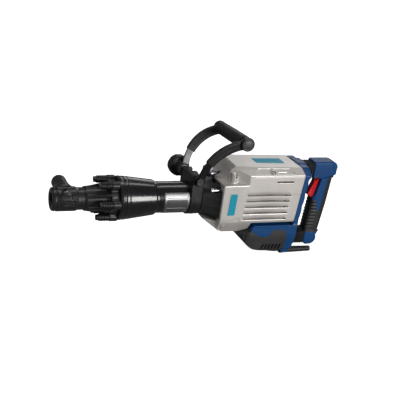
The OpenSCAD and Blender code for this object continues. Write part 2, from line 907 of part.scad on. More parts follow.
// Red lever on two moulded stub axles at its top, hollow on one side
module trigger() {
    color("#b8101f") difference() {
        plate_y([[690, 46], [701, 48], [702, 40], [700, 18], [697, -6], [691, -9], [675, 3], [688, 34]], -8.4, 8.4);
        plate_y([[686, 8], [694, 38], [698, 38], [696, 8]], -5, 9);
    }
    color("#b8101f") bar_y(-12.6, 12.6, 3, 697, 43);
}

// Rubber sleeve that the supply cord leaves through
module cord_guard() {
    color("#1e1e1f") difference() {
        union() {
            bar_x(602, 690, 7.4, guard_y, guard_z);
            bar_x(602, 610, 9, guard_y, guard_z);
        }
        bar_x(601, 700, 4.5, guard_y, guard_z);
    }
}

// ---------------------------------------------------------------- side handle

// The clamp's place on the barrel, with its top turned towards +Y
module swung() {
    rotate([-swing, 0, 0]) children();
}

// U-shaped band around the barrel, with both ends on the cross bolt
module clamp_strap() {
    low = barrel_r + run_gap;
    color("#1a1a1c") swung() difference() {
        union() {
            bar_x(strap_start, strap_start + strap_w, strap_r);
            for (side = [-1, 1]) {
                translate([strap_start, side < 0 ? -strap_r : barrel_r + run_gap, 0])
                    cube([strap_w, 4 - run_gap, tilt_z + 9]);
            }
        }
        bar_x(strap_start - 1, strap_start + strap_w + 1, low);
        translate([strap_start - 1, -low, 0]) cube([strap_w + 2, 2 * low, tilt_z + 20]);
        bar_y(-60, 60, 6, tilt_x, tilt_z);
    }
}

// Cast block between the band's ends that seats on the top of the barrel
module clamp_saddle() {
    low = barrel_r + run_gap;
    color("#202022") swung() difference() {
        translate([strap_start + 1, -low + 0.1, 22]) cube([strap_w - 2, 2 * low - 0.2, tilt_z - 13]);
        bar_x(strap_start, strap_start + strap_w, low);
        bar_y(-60, 60, 6, tilt_x, tilt_z);
    }
}

module cross_bolt() {
    color("#4a4a4c") swung() {
        bar_y(-63, 76, 6 - run_gap, tilt_x, tilt_z);
        translate([tilt_x, -63, tilt_z]) rotate([90, 0, 0]) cylinder(h = 6, r = 10, $fn = 6);
    }
}

module clamp_knob() {
    lobes = 6;
    color("#1b1b1c") swung() difference() {
        union() {
            bar_y(62, 74, 14, tilt_x, tilt_z);
            bar_y(74, 94, 27, tilt_x, tilt_z);
            translate([tilt_x, 94, tilt_z]) rotate([-90, 0, 0]) cylinder(h = 6, r1 = 27, r2 = 19);
        }
        bar_y(61, 77, 6, tilt_x, tilt_z);
        for (i = [0:lobes - 1]) {
            translate([tilt_x, 0, tilt_z]) rotate([0, i * 360 / lobes, 0]) translate([34.5, 73, 0])
                rotate([-90, 0, 0]) cylinder(h = 30, r = 10);
        }
    }
}

// Centre line of an arm seen from the side, from the cross bolt to the grip
bow_centre = [grip_x + 10, tilt_z - 8];
bow_r = norm([grip_x, grip_z] - bow_centre);
bow_from = atan2(tilt_z - bow_centre[1], tilt_x - bow_centre[0]);
bow_to = atan2(grip_z - bow_centre[1], grip_x - bow_centre[0]);

// Curved bar of an arm between two angles, at radius bow_r
module arm_arc(from, to, half_w, y0, y1) {
    reach = 2 * bow_r;
    intersection() {
        difference() {
            bar_y(y0, y1, bow_r + half_w, bow_centre[0], bow_centre[1]);
            bar_y(y0 - 1, y1 + 1, bow_r - half_w, bow_centre[0], bow_centre[1]);
        }
        plate_y([bow_centre, bow_centre + reach * [cos(from), sin(from)], bow_centre + reach * [cos(to), sin(to)]],
            y0 - 1, y1 + 1);
    }
}

// Leans a far-side arm outward towards the grip
module leaned(side) {
    lean = atan((grip_half - arm_y) / (grip_z - tilt_z));
    translate([0, side * arm_y, tilt_z]) rotate([-side * lean, 0, 0]) translate([0, 0, -tilt_z]) children();
}

module handle_bow() {
    color("#8d8d8f") swung() difference() {
        union() {
            for (side = [-1, 1]) {
                leaned(side) {
                    arm_arc(176, bow_to, 9, -3, 3);
                    bar_y(-3, 3, 11, tilt_x + 6, tilt_z);
                }
                bar_y(side < 0 ? -arm_y - 4 : strap_r + 0.1, side < 0 ? -strap_r - 0.1 : arm_y + 4, 13,
                    tilt_x, tilt_z);
            }
            bar_y(-grip_half - 2, grip_half + 2, 8, grip_x, grip_z);
        }
        bar_y(-100, 100, 6, tilt_x, tilt_z);
    }
}

module bow_covers() {
    cap_seat = grip_half + 5.5;
    color("#232325") swung() for (side = [-1, 1]) difference() {
        leaned(side) arm_arc(150, bow_to, 12.5, -5.5, 5.5);
        leaned(side) arm_arc(152, bow_to - 2, 9, -3, 3);
        bar_y(-100, 100, 8, grip_x, grip_z);
        bar_y(side < 0 ? -100 : cap_seat, side < 0 ? -cap_seat : 100, grip_r + 1, grip_x, grip_z);
    }
}

module side_grip() {
    color("#1c1c1e") swung() difference() {
        bar_y(-grip_half + 10, grip_half - 10, grip_r, grip_x, grip_z);
        bar_y(-100, 100, 8, grip_x, grip_z);
    }
}

module grip_caps() {
    color("#1f1f21") swung() for (side = [-1, 1]) {
        start = grip_half + 6;
        translate([grip_x, side * start, grip_z]) rotate([-90 * side, 0, 0]) difference() {
            union() {
                cylinder(h = 6, r = grip_r);
                translate([0, 0, 6]) cylinder(h = 2, r1 = grip_r, r2 = grip_r - 2);
            }
            translate([0, 0, 7]) cylinder(h = 2, r = grip_r - 5);
        }
    }
}

tool_holder();
retainer_pin();
retainer_knob();
retainer_bush();
retainer_washer();
retainer_spring();
nose_bolts();
spring_stacks();
front_sleeve();
bolt_guide();
impact_bolt();
bolt_backstop();
barrel();
nameplate();
rubber_buffer();
cylinder_liner();
striker();
striker_rings();
piston();
piston_ring();
wrist_pin();
connecting_rod();
crank_pin();
crankshaft();
crank_gear();
idler_shaft();
idler_gear();
gear_bearings();
crank_case();
front_hood();
grease_cap();
case_screws();
shroud();
labels();
armature_shaft();
armature_core();
commutator();
fan();
armature_bearings();
stator();
brush_holders();
brushes();
motor_housing();
belly_boot();
handle_guides();
handle_springs();
handle_bellows();
rear_handle();
handle_overmould();
power_switch();
trigger();
cord_guard();
clamp_strap();
clamp_saddle();
cross_bolt();
clamp_knob();
handle_bow();
bow_covers();
side_grip();
grip_caps();
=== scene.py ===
"""Looks of the electric demolition hammer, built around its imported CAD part.

Shapes are in millimetres in the part's own frame: X from the mouth of the shank bore to the rear
handle, +Z up, -Y the side with the nameplate. Castings and mouldings are distance fields meshed on a
grid, and turned parts are outlines swept round an axis.
"""
import json
import math

import bmesh
import bpy
import numpy as np
from mathutils import Matrix, Vector


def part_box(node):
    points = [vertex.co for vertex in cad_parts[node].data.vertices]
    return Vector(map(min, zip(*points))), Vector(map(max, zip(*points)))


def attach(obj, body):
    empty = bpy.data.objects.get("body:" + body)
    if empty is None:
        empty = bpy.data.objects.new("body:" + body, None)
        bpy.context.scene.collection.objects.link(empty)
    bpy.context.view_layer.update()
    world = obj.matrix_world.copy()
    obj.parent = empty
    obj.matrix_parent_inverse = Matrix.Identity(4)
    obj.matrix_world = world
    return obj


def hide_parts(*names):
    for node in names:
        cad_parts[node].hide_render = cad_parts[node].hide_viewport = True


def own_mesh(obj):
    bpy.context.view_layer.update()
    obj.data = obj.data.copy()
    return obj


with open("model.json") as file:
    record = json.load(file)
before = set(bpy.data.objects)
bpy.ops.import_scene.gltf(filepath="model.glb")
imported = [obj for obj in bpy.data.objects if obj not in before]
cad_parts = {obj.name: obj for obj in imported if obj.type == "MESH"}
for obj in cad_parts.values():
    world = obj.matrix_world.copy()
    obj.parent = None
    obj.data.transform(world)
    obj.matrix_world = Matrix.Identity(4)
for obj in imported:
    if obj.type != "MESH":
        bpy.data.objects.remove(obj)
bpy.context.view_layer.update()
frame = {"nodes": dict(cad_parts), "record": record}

MM = 0.001
FINE = 0.5
MEDIUM = 0.9
COARSE = 1.2
ROUND_STEPS = 128
FACE_LIMIT = 150000
SHARP_ANGLE = math.radians(38)


def cad(node):
    """Lowest and highest corner of a CAD node in millimetres"""
    low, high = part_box(node)
    return np.array(low) / MM, np.array(high) / MM


# ------------------------------------------------------------------ distance fields
# A field takes p = (x, y, z), arrays that broadcast, and gives the distance to a surface,
# negative inside.


def length(*parts):
    total = 0
    for part in parts:
        total = total + part * part
    return np.sqrt(total)


def join(blend, *fields):
    """Union of fields with a fillet of about the blend's size"""
    result = fields[0]
    for field in fields[1:]:
        fillet = np.maximum(blend - np.abs(result - field), 0) ** 2 / (4 * blend) if blend else 0
        result = np.minimum(result, field) - fillet
    return result


def meet(blend, *fields):
    """Intersection of fields with rounded edges"""
    return -join(blend, *[-field for field in fields])


def cut(blend, body, *tools):
    """The body without the tools"""
    return meet(blend, body, *[-tool for tool in tools])


def block(p, low, high, radius=0.0):
    spread = []
    for value, start, end in zip(p, low, high):
        spread.append(np.abs(value - (start + end) / 2) - ((end - start) / 2 - radius))
    outside = length(*[np.maximum(s, 0) for s in spread])
    inside = np.minimum(np.maximum(np.maximum(spread[0], spread[1]), spread[2]), 0)
    return outside + inside - radius


def slab(value, low, high):
    return np.abs(value - (low + high) / 2) - (high - low) / 2


def rounded_pair(a, b, radius):
    """Intersection of two fields that are square to each other, with a round edge"""
    a, b = a + radius, b + radius
    return np.minimum(np.maximum(a, b), 0) + length(np.maximum(a, 0), np.maximum(b, 0)) - radius


AXES = {"x": (0, 1, 2), "y": (1, 0, 2), "z": (2, 0, 1)}


def rod(p, axis, start, end, radius, at=(0, 0), edge=0.0):
    """Round bar along an axis. at gives its other two coordinates."""
    along, first, second = AXES[axis]
    wall = length(p[first] - at[0], p[second] - at[1]) - radius
    return rounded_pair(wall, slab(p[along], min(start, end), max(start, end)), edge)


def inset(outline, distance):
    """The outline with every side moved inward"""
    points = np.array(outline, float)
    ahead = np.roll(points, -1, axis=0)
    area = np.sum(points[:, 0] * ahead[:, 1] - ahead[:, 0] * points[:, 1])
    side = (ahead - points) / np.linalg.norm(ahead - points, axis=1)[:, None]
    normal = np.stack([-side[:, 1], side[:, 0]], axis=1) * np.sign(area)
    behind = np.roll(normal, 1, axis=0)
    scale = distance / (1 + np.sum(normal * behind, axis=1))
    return points + (normal + behind) * scale[:, None]


def polygon(u, v, outline):
    """Distance to a closed outline in the plane of u and v"""
    points = np.array(outline, np.float32)
    nearest, sign = None, 1.0
    for (ax, ay), (bx, by) in zip(points, np.roll(points, 1, axis=0)):
        ex, ey = bx - ax, by - ay
        wx, wy = u - ax, v - ay
        t = np.clip((wx * ex + wy * ey) / (ex * ex + ey * ey), 0, 1)
        square = (wx - ex * t) ** 2 + (wy - ey * t) ** 2
        nearest = square if nearest is None else np.minimum(nearest, square)
        above, below, left = v >= ay, v < by, ex * wy > ey * wx
        sign = np.where((above & below & left) | ~(above | below | left), -sign, sign)
    return sign * np.sqrt(nearest)


def prism(p, axis, outline, low, high, radius=0.0):
    """Outline in the other two coordinates, drawn out along an axis, with all its edges rounded"""
    along, first, second = AXES[axis]
    drawn = inset(outline, radius) if radius else outline
    flat = polygon(p[first], p[second], drawn) - radius
    return rounded_pair(flat, slab(p[along], low, high), radius)


def lathe_field(p, outline, axis="x", at=(0, 0), radius=0.0):
    """Outline of (along, radius) points turned about an axis, where it starts and ends"""
    along, first, second = AXES[axis]
    closed = [(outline[0][0], -30.0)] + list(outline) + [(outline[-1][0], -30.0)]
    around = length(p[first] - at[0], p[second] - at[1])
    drawn = inset(closed, radius) if radius else closed
    return polygon(p[along], around, drawn) - radius


def turned_about_x(p, angle, y, z):
    """The points as seen from a frame turned about a line along X through y, z"""
    c, s = math.cos(angle), math.sin(angle)
    dy, dz = p[1] - y, p[2] - z
    return p[0], y + c * dy + s * dz, z - s * dy + c * dz


def turned_about_y(p, angle, x, z):
    c, s = math.cos(angle), math.sin(angle)
    dx, dz = p[0] - x, p[2] - z
    return x + c * dx + s * dz, p[1], z - s * dx + c * dz


def both_sides(p):
    return p[0], np.abs(p[1]), p[2]


def mirrored(half, flip=(-1, 1)):
    """Closed outline of the points and their mirror images, mirrored where flip is -1"""
    return half + [(a * flip[0], b * flip[1]) for a, b in reversed(half)]


def arc(cx, cy, radius, start, end, steps):
    """Points on a circle between two angles in degrees"""
    angles = [math.radians(start + (end - start) * i / steps) for i in range(steps + 1)]
    return [(cx + radius * math.cos(a), cy + radius * math.sin(a)) for a in angles]


# ------------------------------------------------------------------ meshes


def net(field, low, high, step):
    """Closed mesh where the field is zero: its points in millimetres and its four-sided faces"""
    lines = [np.arange(low[i] - 2.3 * step, high[i] + 3 * step, step, dtype=np.float32) for i in range(3)]
    grid = (lines[0][:, None, None], lines[1][None, :, None], lines[2][None, None, :])
    shape = tuple(len(line) for line in lines)
    d = np.ascontiguousarray(np.broadcast_to(field(grid), shape), dtype=np.float32)
    inside = d < 0
    count = np.zeros([n - 1 for n in shape], np.uint8)
    for i in (0, 1):
        for j in (0, 1):
            for k in (0, 1):
                count += inside[i:shape[0] - 1 + i, j:shape[1] - 1 + j, k:shape[2] - 1 + k]
    mixed = (count > 0) & (count < 8)
    ids = np.full(mixed.shape, -1, np.int32)
    ids[mixed] = np.arange(np.count_nonzero(mixed))
    cell = np.argwhere(mixed)
    total, hits = np.zeros((len(cell), 3)), np.zeros(len(cell))
    for axis in range(3):
        for a in (0, 1):
            for b in (0, 1):
                first = cell.copy()
                first[:, (axis + 1) % 3] += a
                first[:, (axis + 2) % 3] += b
                second = first.copy()
                second[:, axis] += 1
                d0, d1 = d[tuple(first.T)], d[tuple(second.T)]
                crossed = (d0 < 0) != (d1 < 0)
                share = np.where(crossed, d0 / np.where(crossed, d0 - d1, 1), 0)
                point = first.astype(float)
                point[:, axis] += share
                total += point * crossed[:, None]
                hits += crossed
    points = total / hits[:, None] * step + np.array([line[0] for line in lines])
    faces = []
    for axis in range(3):
        u, w = (axis + 1) % 3, (axis + 2) % 3
        near = inside.take(range(shape[axis] - 1), axis=axis)
        far = inside.take(range(1, shape[axis]), axis=axis)
        edge = np.argwhere(near != far)
        edge = edge[(edge[:, u] > 0) & (edge[:, w] > 0)]
        outward = near[tuple(edge.T)]
        corners = []
        for du, dw in ((1, 1), (0, 1), (0, 0), (1, 0)):
            at = edge.copy()
            at[:, u] -= du
            at[:, w] -= dw
            corners.append(ids[tuple(at.T)])
        quad = np.stack(corners, axis=1)
        quad[~outward] = quad[~outward][:, ::-1]
        faces.append(quad)
    return settle(field, points, step), np.vstack(faces)


def settle(field, points, step):
    """Moves the points onto the field's surface along its slope"""
    probe = 0.15 * step
    for _ in range(2):
        p = [np.ascontiguousarray(column, dtype=np.float64) for column in points.T]
        here = field(tuple(p))
        slope = []
        for axis in range(3):
            moved = list(p)
            moved[axis] = p[axis] + probe
            slope.append((field(tuple(moved)) - here) / probe)
        slope = np.stack(slope, axis=1)
        size = np.maximum(np.sum(slope * slope, axis=1), 0.25)
        shift = np.clip(here / size, -0.45 * step, 0.45 * step)
        points = points - shift[:, None] * slope
    return points


def smooth(mesh):
    """Smooth shading that keeps the sharp edges"""
    mesh.shade_smooth()
    mesh.set_sharp_from_angle(angle=SHARP_ANGLE)


def linked(name, data):
    """Object in the scene for a mesh, lamp or camera"""
    made = bpy.data.objects.new(name, data)
    bpy.context.scene.collection.objects.link(made)
    return made


def mesh_object(name, points, faces):
    """Object from points in millimetres and an array of faces with three or four corners each"""
    mesh = bpy.data.meshes.new(name)
    faces = np.asarray(faces, np.int32)
    mesh.vertices.add(len(points))
    mesh.vertices.foreach_set("co", (np.asarray(points) * MM).astype(np.float32).ravel())
    mesh.loops.add(faces.size)
    mesh.loops.foreach_set("vertex_index", faces.ravel())
    mesh.polygons.add(len(faces))
    mesh.polygons.foreach_set("loop_start", np.arange(0, faces.size, faces.shape[1], dtype=np.int32))
    mesh.update(calc_edges=True)
    mesh.validate()
    smooth(mesh)
    return linked(name, mesh)


def lighten(made):
    """Takes faces out of the flat parts of a dense mesh"""
    triangles = 2 * len(made.data.polygons)
    if triangles < FACE_LIMIT:
        return
    modifier = made.modifiers.new("lighten", "DECIMATE")
    modifier.ratio = FACE_LIMIT / triangles
    evaluated = made.evaluated_get(bpy.context.evaluated_depsgraph_get())
    mesh = bpy.data.meshes.new_from_object(evaluated)
    made.modifiers.clear()
    made.data = mesh


def cast(name, field, low, high, step):
    """Piece whose surface is where a field is zero"""
    made = mesh_object(name, *net(field, low, high, step))
    lighten(made)
    return made


def soften(outline, radius, steps=3):
    """The open outline with its inner corners rounded"""
    result = [outline[0]]
    for before, here, after in zip(outline, outline[1:], outline[2:]):
        before, here, after = np.array(before, float), np.array(here, float), np.array(after, float)
        back, on = before - here, after - here
        reach = min(radius, 0.45 * np.linalg.norm(back), 0.45 * np.linalg.norm(on))
        a = here + back / np.linalg.norm(back) * reach
        b = here + on / np.linalg.norm(on) * reach
        for i in range(steps + 1):
            t = i / steps
            result.append(tuple((1 - t) ** 2 * a + 2 * t * (1 - t) * here + t * t * b))
    result.append(outline[-1])
    return result


def rounded_ring(outline, radius, steps=3):
    """The closed outline with its corners rounded, from the middle of its first side"""
    first = ((outline[0][0] + outline[1][0]) / 2, (outline[0][1] + outline[1][1]) / 2)
    return soften([first] + list(outline[1:]) + [outline[0], first], radius, steps)[:-1]


def lathe(name, outline, axis="x", at=(0, 0), radius=0.6, closed=False):
    """Turned piece: an outline of (along, radius) points, rounded at its corners"""
    ring = rounded_ring(outline, radius) if closed else soften(outline, radius)
    along, first_axis, second_axis = AXES[axis]
    turn = np.arange(ROUND_STEPS) * 2 * math.pi / ROUND_STEPS
    points = []
    for a, r in ring:
        p = np.zeros((ROUND_STEPS, 3))
        p[:, along] = a
        p[:, first_axis] = at[0] + r * np.cos(turn)
        p[:, second_axis] = at[1] + r * np.sin(turn)
        points.append(p)
    rows = len(ring)
    faces = []
    step = np.arange(ROUND_STEPS)
    after = (step + 1) % ROUND_STEPS
    for i in range(rows if closed else rows - 1):
        here, beyond = i * ROUND_STEPS, ((i + 1) % rows) * ROUND_STEPS
        faces.append(np.stack([here + step, here + after, beyond + after, beyond + step], axis=1))
    made = mesh_object(name, np.vstack(points), np.vstack(faces))
    clean(made)
    return made


def clean(made):
    """Merges doubled points, such as those on the axis, and turns the faces outward"""
    work = bmesh.new()
    work.from_mesh(made.data)
    bmesh.ops.remove_doubles(work, verts=work.verts, dist=1e-6)
    bmesh.ops.dissolve_degenerate(work, edges=work.edges, dist=1e-7)
    bmesh.ops.recalc_face_normals(work, faces=work.faces)
    work.to_mesh(made.data)
    work.free()
    smooth(made.data)


def coil(name, axis, start, end, radius, wire, turns, at):
    """Compression spring of round wire, with its ends closed flat"""
    along, first, second = AXES[axis]
    steps, sides = int(turns * 36), 12
    t = np.linspace(0, 1, steps + 1)
    turn = t * turns * 2 * math.pi
    # the pitch is small at both ends, where the coils lie on each other
    eased = np.interp(t, [0, 1 / turns, 1 - 1 / turns, 1], [0, 0.06, 0.94, 1])
    out = np.zeros((steps + 1, 3))
    out[:, first] = np.cos(turn)
    out[:, second] = np.sin(turn)
    middle = radius * out
    middle[:, along] = start + wire / 2 + (end - start - wire) * eased
    middle[:, first] += at[0]
    middle[:, second] += at[1]
    forward = np.gradient(middle, axis=0)
    forward /= np.linalg.norm(forward, axis=1)[:, None]
    up = np.cross(forward, out)
    ring = np.arange(sides) * 2 * math.pi / sides
    points = (middle[:, None, :] + wire / 2 * (np.cos(ring)[None, :, None] * out[:, None, :]
              + np.sin(ring)[None, :, None] * up[:, None, :])).reshape(-1, 3)
    side = np.arange(sides)
    after = (side + 1) % sides
    first_ring = np.stack([side, after, sides + after, sides + side], axis=1)
    faces = [first_ring + i * sides for i in range(steps)]
    made = mesh_object(name, points, np.vstack(faces))
    work = bmesh.new()
    work.from_mesh(made.data)
    bmesh.ops.holes_fill(work, edges=[e for e in work.edges if e.is_boundary])
    bmesh.ops.recalc_face_normals(work, faces=work.faces)
    work.to_mesh(made.data)
    work.free()
    return made


def rounded_sheet(name, outline, radius, axis, level, thick):
    """Thin plate with round corners, its outline in the two coordinates other than the axis"""
    along, first, second = AXES[axis]
    ring = np.array(rounded_ring(outline, radius, 6))
    count = len(ring)
    points = np.zeros((2 * count, 3))
    points[:, [first, second]] = np.vstack([ring, ring])
    points[:, along] = np.repeat([level, level + thick], count)
    mesh = bpy.data.meshes.new(name)
    faces = [list(range(count)), list(range(count, 2 * count))]
    faces += [[i, (i + 1) % count, count + (i + 1) % count, count + i] for i in range(count)]
    mesh.from_pydata((points * MM).tolist(), [], faces)
    made = linked(name, mesh)
    clean(made)
    return made


def copies(name, source, places):
    """Copies of a piece at several places, as one piece"""
    points, faces = [], []
    for spot in places:
        start = len(points)
        points.extend(spot @ vertex.co for vertex in source.data.vertices)
        faces.extend(tuple(i + start for i in face.vertices) for face in source.data.polygons)
    mesh = bpy.data.meshes.new(name)
    mesh.from_pydata(points, [], faces)
    smooth(mesh)
    bpy.data.objects.remove(source)
    return linked(name, mesh)


# ------------------------------------------------------------------ materials

LOOKS = {}


class Finish:
    """Builds one procedural material node by node"""

    def __init__(self, name):
        self.material = bpy.data.materials.new(name)
        self.material.use_nodes = True
        self.nodes = self.material.node_tree.nodes
        self.links = self.material.node_tree.links
        self.shader = self.nodes["Principled BSDF"]
        self.place = self.nodes.new("ShaderNodeTexCoord").outputs["Object"]

    def stretched(self, scale):
        mapping = self.nodes.new("ShaderNodeMapping")
        mapping.inputs["Scale"].default_value = scale
        self.links.new(self.place, mapping.inputs["Vector"])
        return mapping.outputs["Vector"]

    def noise(self, scale, detail=3.0, rough=0.55, vector=None):
        node = self.nodes.new("ShaderNodeTexNoise")
        node.inputs["Scale"].default_value = scale
        node.inputs["Detail"].default_value = detail
        node.inputs["Roughness"].default_value = rough
        self.links.new(vector or self.place, node.inputs["Vector"])
        return node.outputs["Fac"]

    def ranged(self, value, low, high, start=0.35, end=0.65):
        node = self.nodes.new("ShaderNodeMapRange")
        node.inputs["From Min"].default_value = start
        node.inputs["From Max"].default_value = end
        node.inputs["To Min"].default_value = low
        node.inputs["To Max"].default_value = high
        self.links.new(value, node.inputs["Value"])
        return node.outputs["Result"]

    def combined(self, operation, first, second):
        node = self.nodes.new("ShaderNodeMath")
        node.operation = operation
        self.links.new(first, node.inputs[0])
        self.links.new(second, node.inputs[1])
        return node.outputs[0]

    def mixed(self, factor, first, second):
        node = self.nodes.new("ShaderNodeMix")
        node.data_type = "RGBA"
        self.links.new(factor, node.inputs["Factor"])
        for socket, value in (("A", first), ("B", second)):
            target = [s for s in node.inputs if s.name == socket and s.type == "RGBA"][0]
            if isinstance(value, tuple):
                target.default_value = (*value, 1)
            else:
                self.links.new(value, target)
        return [s for s in node.outputs if s.type == "RGBA"][0]

    def bumped(self, heights):
        """heights: (value, strength, distance in metres) from the coarsest to the finest"""
        normal = None
        for value, strength, distance in heights:
            node = self.nodes.new("ShaderNodeBump")
            node.inputs["Strength"].default_value = strength
            node.inputs["Distance"].default_value = distance
            self.links.new(value, node.inputs["Height"])
            if normal is not None:
                self.links.new(normal, node.inputs["Normal"])
            normal = node.outputs["Normal"]
        self.links.new(normal, self.shader.inputs["Normal"])


def tinted(colour, factor):
    return tuple(min(1.0, c * factor) for c in colour)


def surface(name, colour, rough, metallic=0.0, mottle=0.12, grain=(900, 0.25, 0.0002), spread=0.08,
            dust=None, dust_amount=0.25, edge=None, shaded_near_side=None, coat=0.0, coat_rough=0.1,
            brushed=None, specular=0.5):
    """Material with uneven tone and roughness, a fine grain, settled dust, rubbed edges and painted shade
    on the -Y half where asked, kept in LOOKS.

    grain is (scale, strength, depth in metres). dust and edge are colours. The colour given for the -Y
    half is painted shade, laid over that half where it stands in shade. brushed stretches the fine
    scratches by that scale. coat is a clear layer.
    """
    made = Finish(name)
    tone = made.noise(28, 4)
    base = made.mixed(made.ranged(tone, 0, 1), tinted(colour, 1 - mottle), tinted(colour, 1 + mottle))
    blotch = made.noise(9, 5, 0.62)
    if dust is not None:
        base = made.mixed(made.ranged(blotch, 0, dust_amount, 0.48, 0.72), base, dust)
    if edge is not None:
        geometry = made.nodes.new("ShaderNodeNewGeometry")
        worn = made.ranged(geometry.outputs["Pointiness"], 0, 1, 0.53, 0.6)
        patchy = made.combined("MULTIPLY", worn, made.ranged(made.noise(60, 4), 0, 0.8, 0.42, 0.6))
        base = made.mixed(patchy, base, edge)
    # painted shade: the half on the -Y side turns to a darker colour, standing in for the shade that falls
    # on it
    if shaded_near_side is not None:
        split = made.nodes.new("ShaderNodeSeparateXYZ")
        made.links.new(made.place, split.inputs["Vector"])
        unshaded_far_side = made.ranged(split.outputs["Y"], 0, 1, -10 * MM, 10 * MM)
        base = made.mixed(unshaded_far_side, shaded_near_side, base)
    made.links.new(base, made.shader.inputs["Base Color"])
    vector = made.stretched(brushed) if brushed else None
    fine = made.noise(grain[0], 3, 0.6, vector)
    uneven = made.ranged(blotch, rough - spread, rough + spread)
    uneven = made.combined("ADD", uneven, made.ranged(fine, -0.03, 0.03))
    made.links.new(uneven, made.shader.inputs["Roughness"])
    made.bumped([(made.noise(45, 3), 0.06, 0.0006), (fine, grain[1], grain[2])])
    made.shader.inputs["Metallic"].default_value = metallic
    made.shader.inputs["Specular IOR Level"].default_value = specular
    if coat:
        made.shader.inputs["Coat Weight"].default_value = coat
        made.shader.inputs["Coat Roughness"].default_value = coat_rough
    LOOKS[name] = made.material


surface("nose_paint", (0.014, 0.014, 0.015), 0.34, 0.2, 0.2, (420, 0.35, 0.0004), 0.09,
        dust=(0.07, 0.07, 0.072), edge=(0.16, 0.16, 0.165), coat=0.25, coat_rough=0.25)
surface("gloss_black", (0.009, 0.009, 0.011), 0.22, 0.1, 0.2, (300, 0.05, 0.0002), 0.05,
        edge=(0.10, 0.10, 0.10), coat=0.45, coat_rough=0.08)
surface("tool_steel", (0.52, 0.52, 0.54), 0.27, 1.0, 0.08, (500, 0.12, 0.0001), 0.08,
        brushed=(1, 30, 1))
surface("black_oxide", (0.05, 0.05, 0.054), 0.36, 0.8, 0.15, (700, 0.2, 0.0002), 0.08,
        edge=(0.3, 0.3, 0.31))
surface("zinc_steel", (0.70, 0.70, 0.73), 0.2, 1.0, 0.08, (600, 0.1, 0.0001), 0.07)
surface("spring_steel", (0.30, 0.30, 0.32), 0.32, 1.0, 0.12, (600, 0.15, 0.0001), 0.08)
surface("plate_silver", (0.30, 0.30, 0.305), 0.40, 1.0, 0.05, (700, 0.14, 0.0001), 0.05,
        brushed=(40, 1, 1))
surface("cast_silver", (0.70, 0.67, 0.64), 0.40, 0.35, 0.035, (1300, 0.3, 0.00012), 0.05,
        dust=(0.56, 0.54, 0.51), dust_amount=0.25, coat=0.25, coat_rough=0.3)
surface("cast_inner", (0.38, 0.38, 0.37), 0.5, 0.8, 0.12, (420, 0.5, 0.0004), 0.1)
surface("hood_black", (0.016, 0.016, 0.018), 0.42, 0, 0.15, (1500, 0.45, 0.00018), 0.06,
        dust=(0.05, 0.05, 0.052))
surface("housing_blue", (0.004, 0.062, 0.21), 0.40, 0, 0.06, (1600, 0.4, 0.00015), 0.05,
        dust=(0.015, 0.085, 0.25), dust_amount=0.3, specular=0.35)
surface("boot_rubber", (0.036, 0.036, 0.038), 0.62, 0, 0.14, (900, 0.5, 0.0003), 0.07,
        dust=(0.085, 0.082, 0.08))
surface("soft_rubber", (0.017, 0.017, 0.0185), 0.50, 0, 0.16, (1100, 0.5, 0.00025), 0.07,
        dust=(0.045, 0.045, 0.046))
surface("seal_rubber", (0.03, 0.03, 0.03), 0.6, 0, 0.15, (900, 0.4, 0.0002), 0.06)
surface("trigger_red", (0.62, 0.004, 0.012), 0.42, 0, 0.06, (1400, 0.2, 0.0001), 0.05,
        specular=0.3)
# the -Y half of the bow bars is painted near-black as painted shade, since the near arm stands in shade
surface("arm_steel", (0.13, 0.13, 0.135), 0.4, 0.7, 0.12, (500, 0.25, 0.0002), 0.08,
        edge=(0.4, 0.4, 0.41), shaded_near_side=(0.02, 0.02, 0.021))
surface("strap_black", (0.017, 0.017, 0.019), 0.38, 0.3, 0.18, (600, 0.25, 0.0002), 0.07,
        edge=(0.16, 0.16, 0.16))
surface("winding_copper", (0.50, 0.22, 0.09), 0.35, 0.9, 0.15, (900, 0.4, 0.0002), 0.08,
        brushed=(1, 1, 12))
surface("carbon", (0.04, 0.04, 0.04), 0.55, 0.1, 0.15, (800, 0.3, 0.0002), 0.06)
surface("brush_brass", (0.62, 0.45, 0.20), 0.3, 1.0, 0.08, (700, 0.15, 0.0001), 0.07)
surface("switch_black", (0.022, 0.022, 0.024), 0.45, 0, 0.12, (1200, 0.3, 0.0002), 0.05)
surface("label_teal", (0.012, 0.36, 0.50), 0.5, 0, 0.04, (700, 0.06, 0.0001), 0.04,
        specular=0.25)
surface("plate_grey", (0.10, 0.10, 0.105), 0.36, 0.3, 0.08, (800, 0.15, 0.0001), 0.05)

for row in frame["record"]["subparts"]:
    carried = frame["nodes"][row["node"]].data
    carried.materials.clear()
    carried.materials.append(LOOKS[row["material_slot"]])


def place(piece, body, nodes, slot, look=None):
    """Puts a finished piece on its body in place of CAD nodes, with its slot's look or another one"""
    piece.data.materials.clear()
    piece.data.materials.append(LOOKS[look or slot])
    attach(piece, body)
    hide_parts(*nodes)


def cast_node(name, node, field, step, slot, body="frame", below=0, above=0):
    """Casts a piece and puts it in place of a CAD node. below and above widen the node's box for it."""
    low, high = cad(node)
    place(cast(name, field, low - below, high + above, step), body, [node], slot)


# ------------------------------------------------------------------ nose

BARREL_R = 39.0
BOLT_ANGLES = [math.radians(30 + 60 * i) for i in range(6)]
BOLT_CIRCLE = 46.0
BOLT_SPOTS = [(BOLT_CIRCLE * math.sin(angle), BOLT_CIRCLE * math.cos(angle)) for angle in BOLT_ANGLES]
PIN = (31.0, 20.0)


def hexagon_field(a, b, size):
    """Hexagon of that size across its flats, two of which face along a"""
    rise = b * math.sin(math.pi / 3)
    return np.maximum(np.maximum(np.abs(a), np.abs(a / 2 + rise)), np.abs(a / 2 - rise)) - size / 2


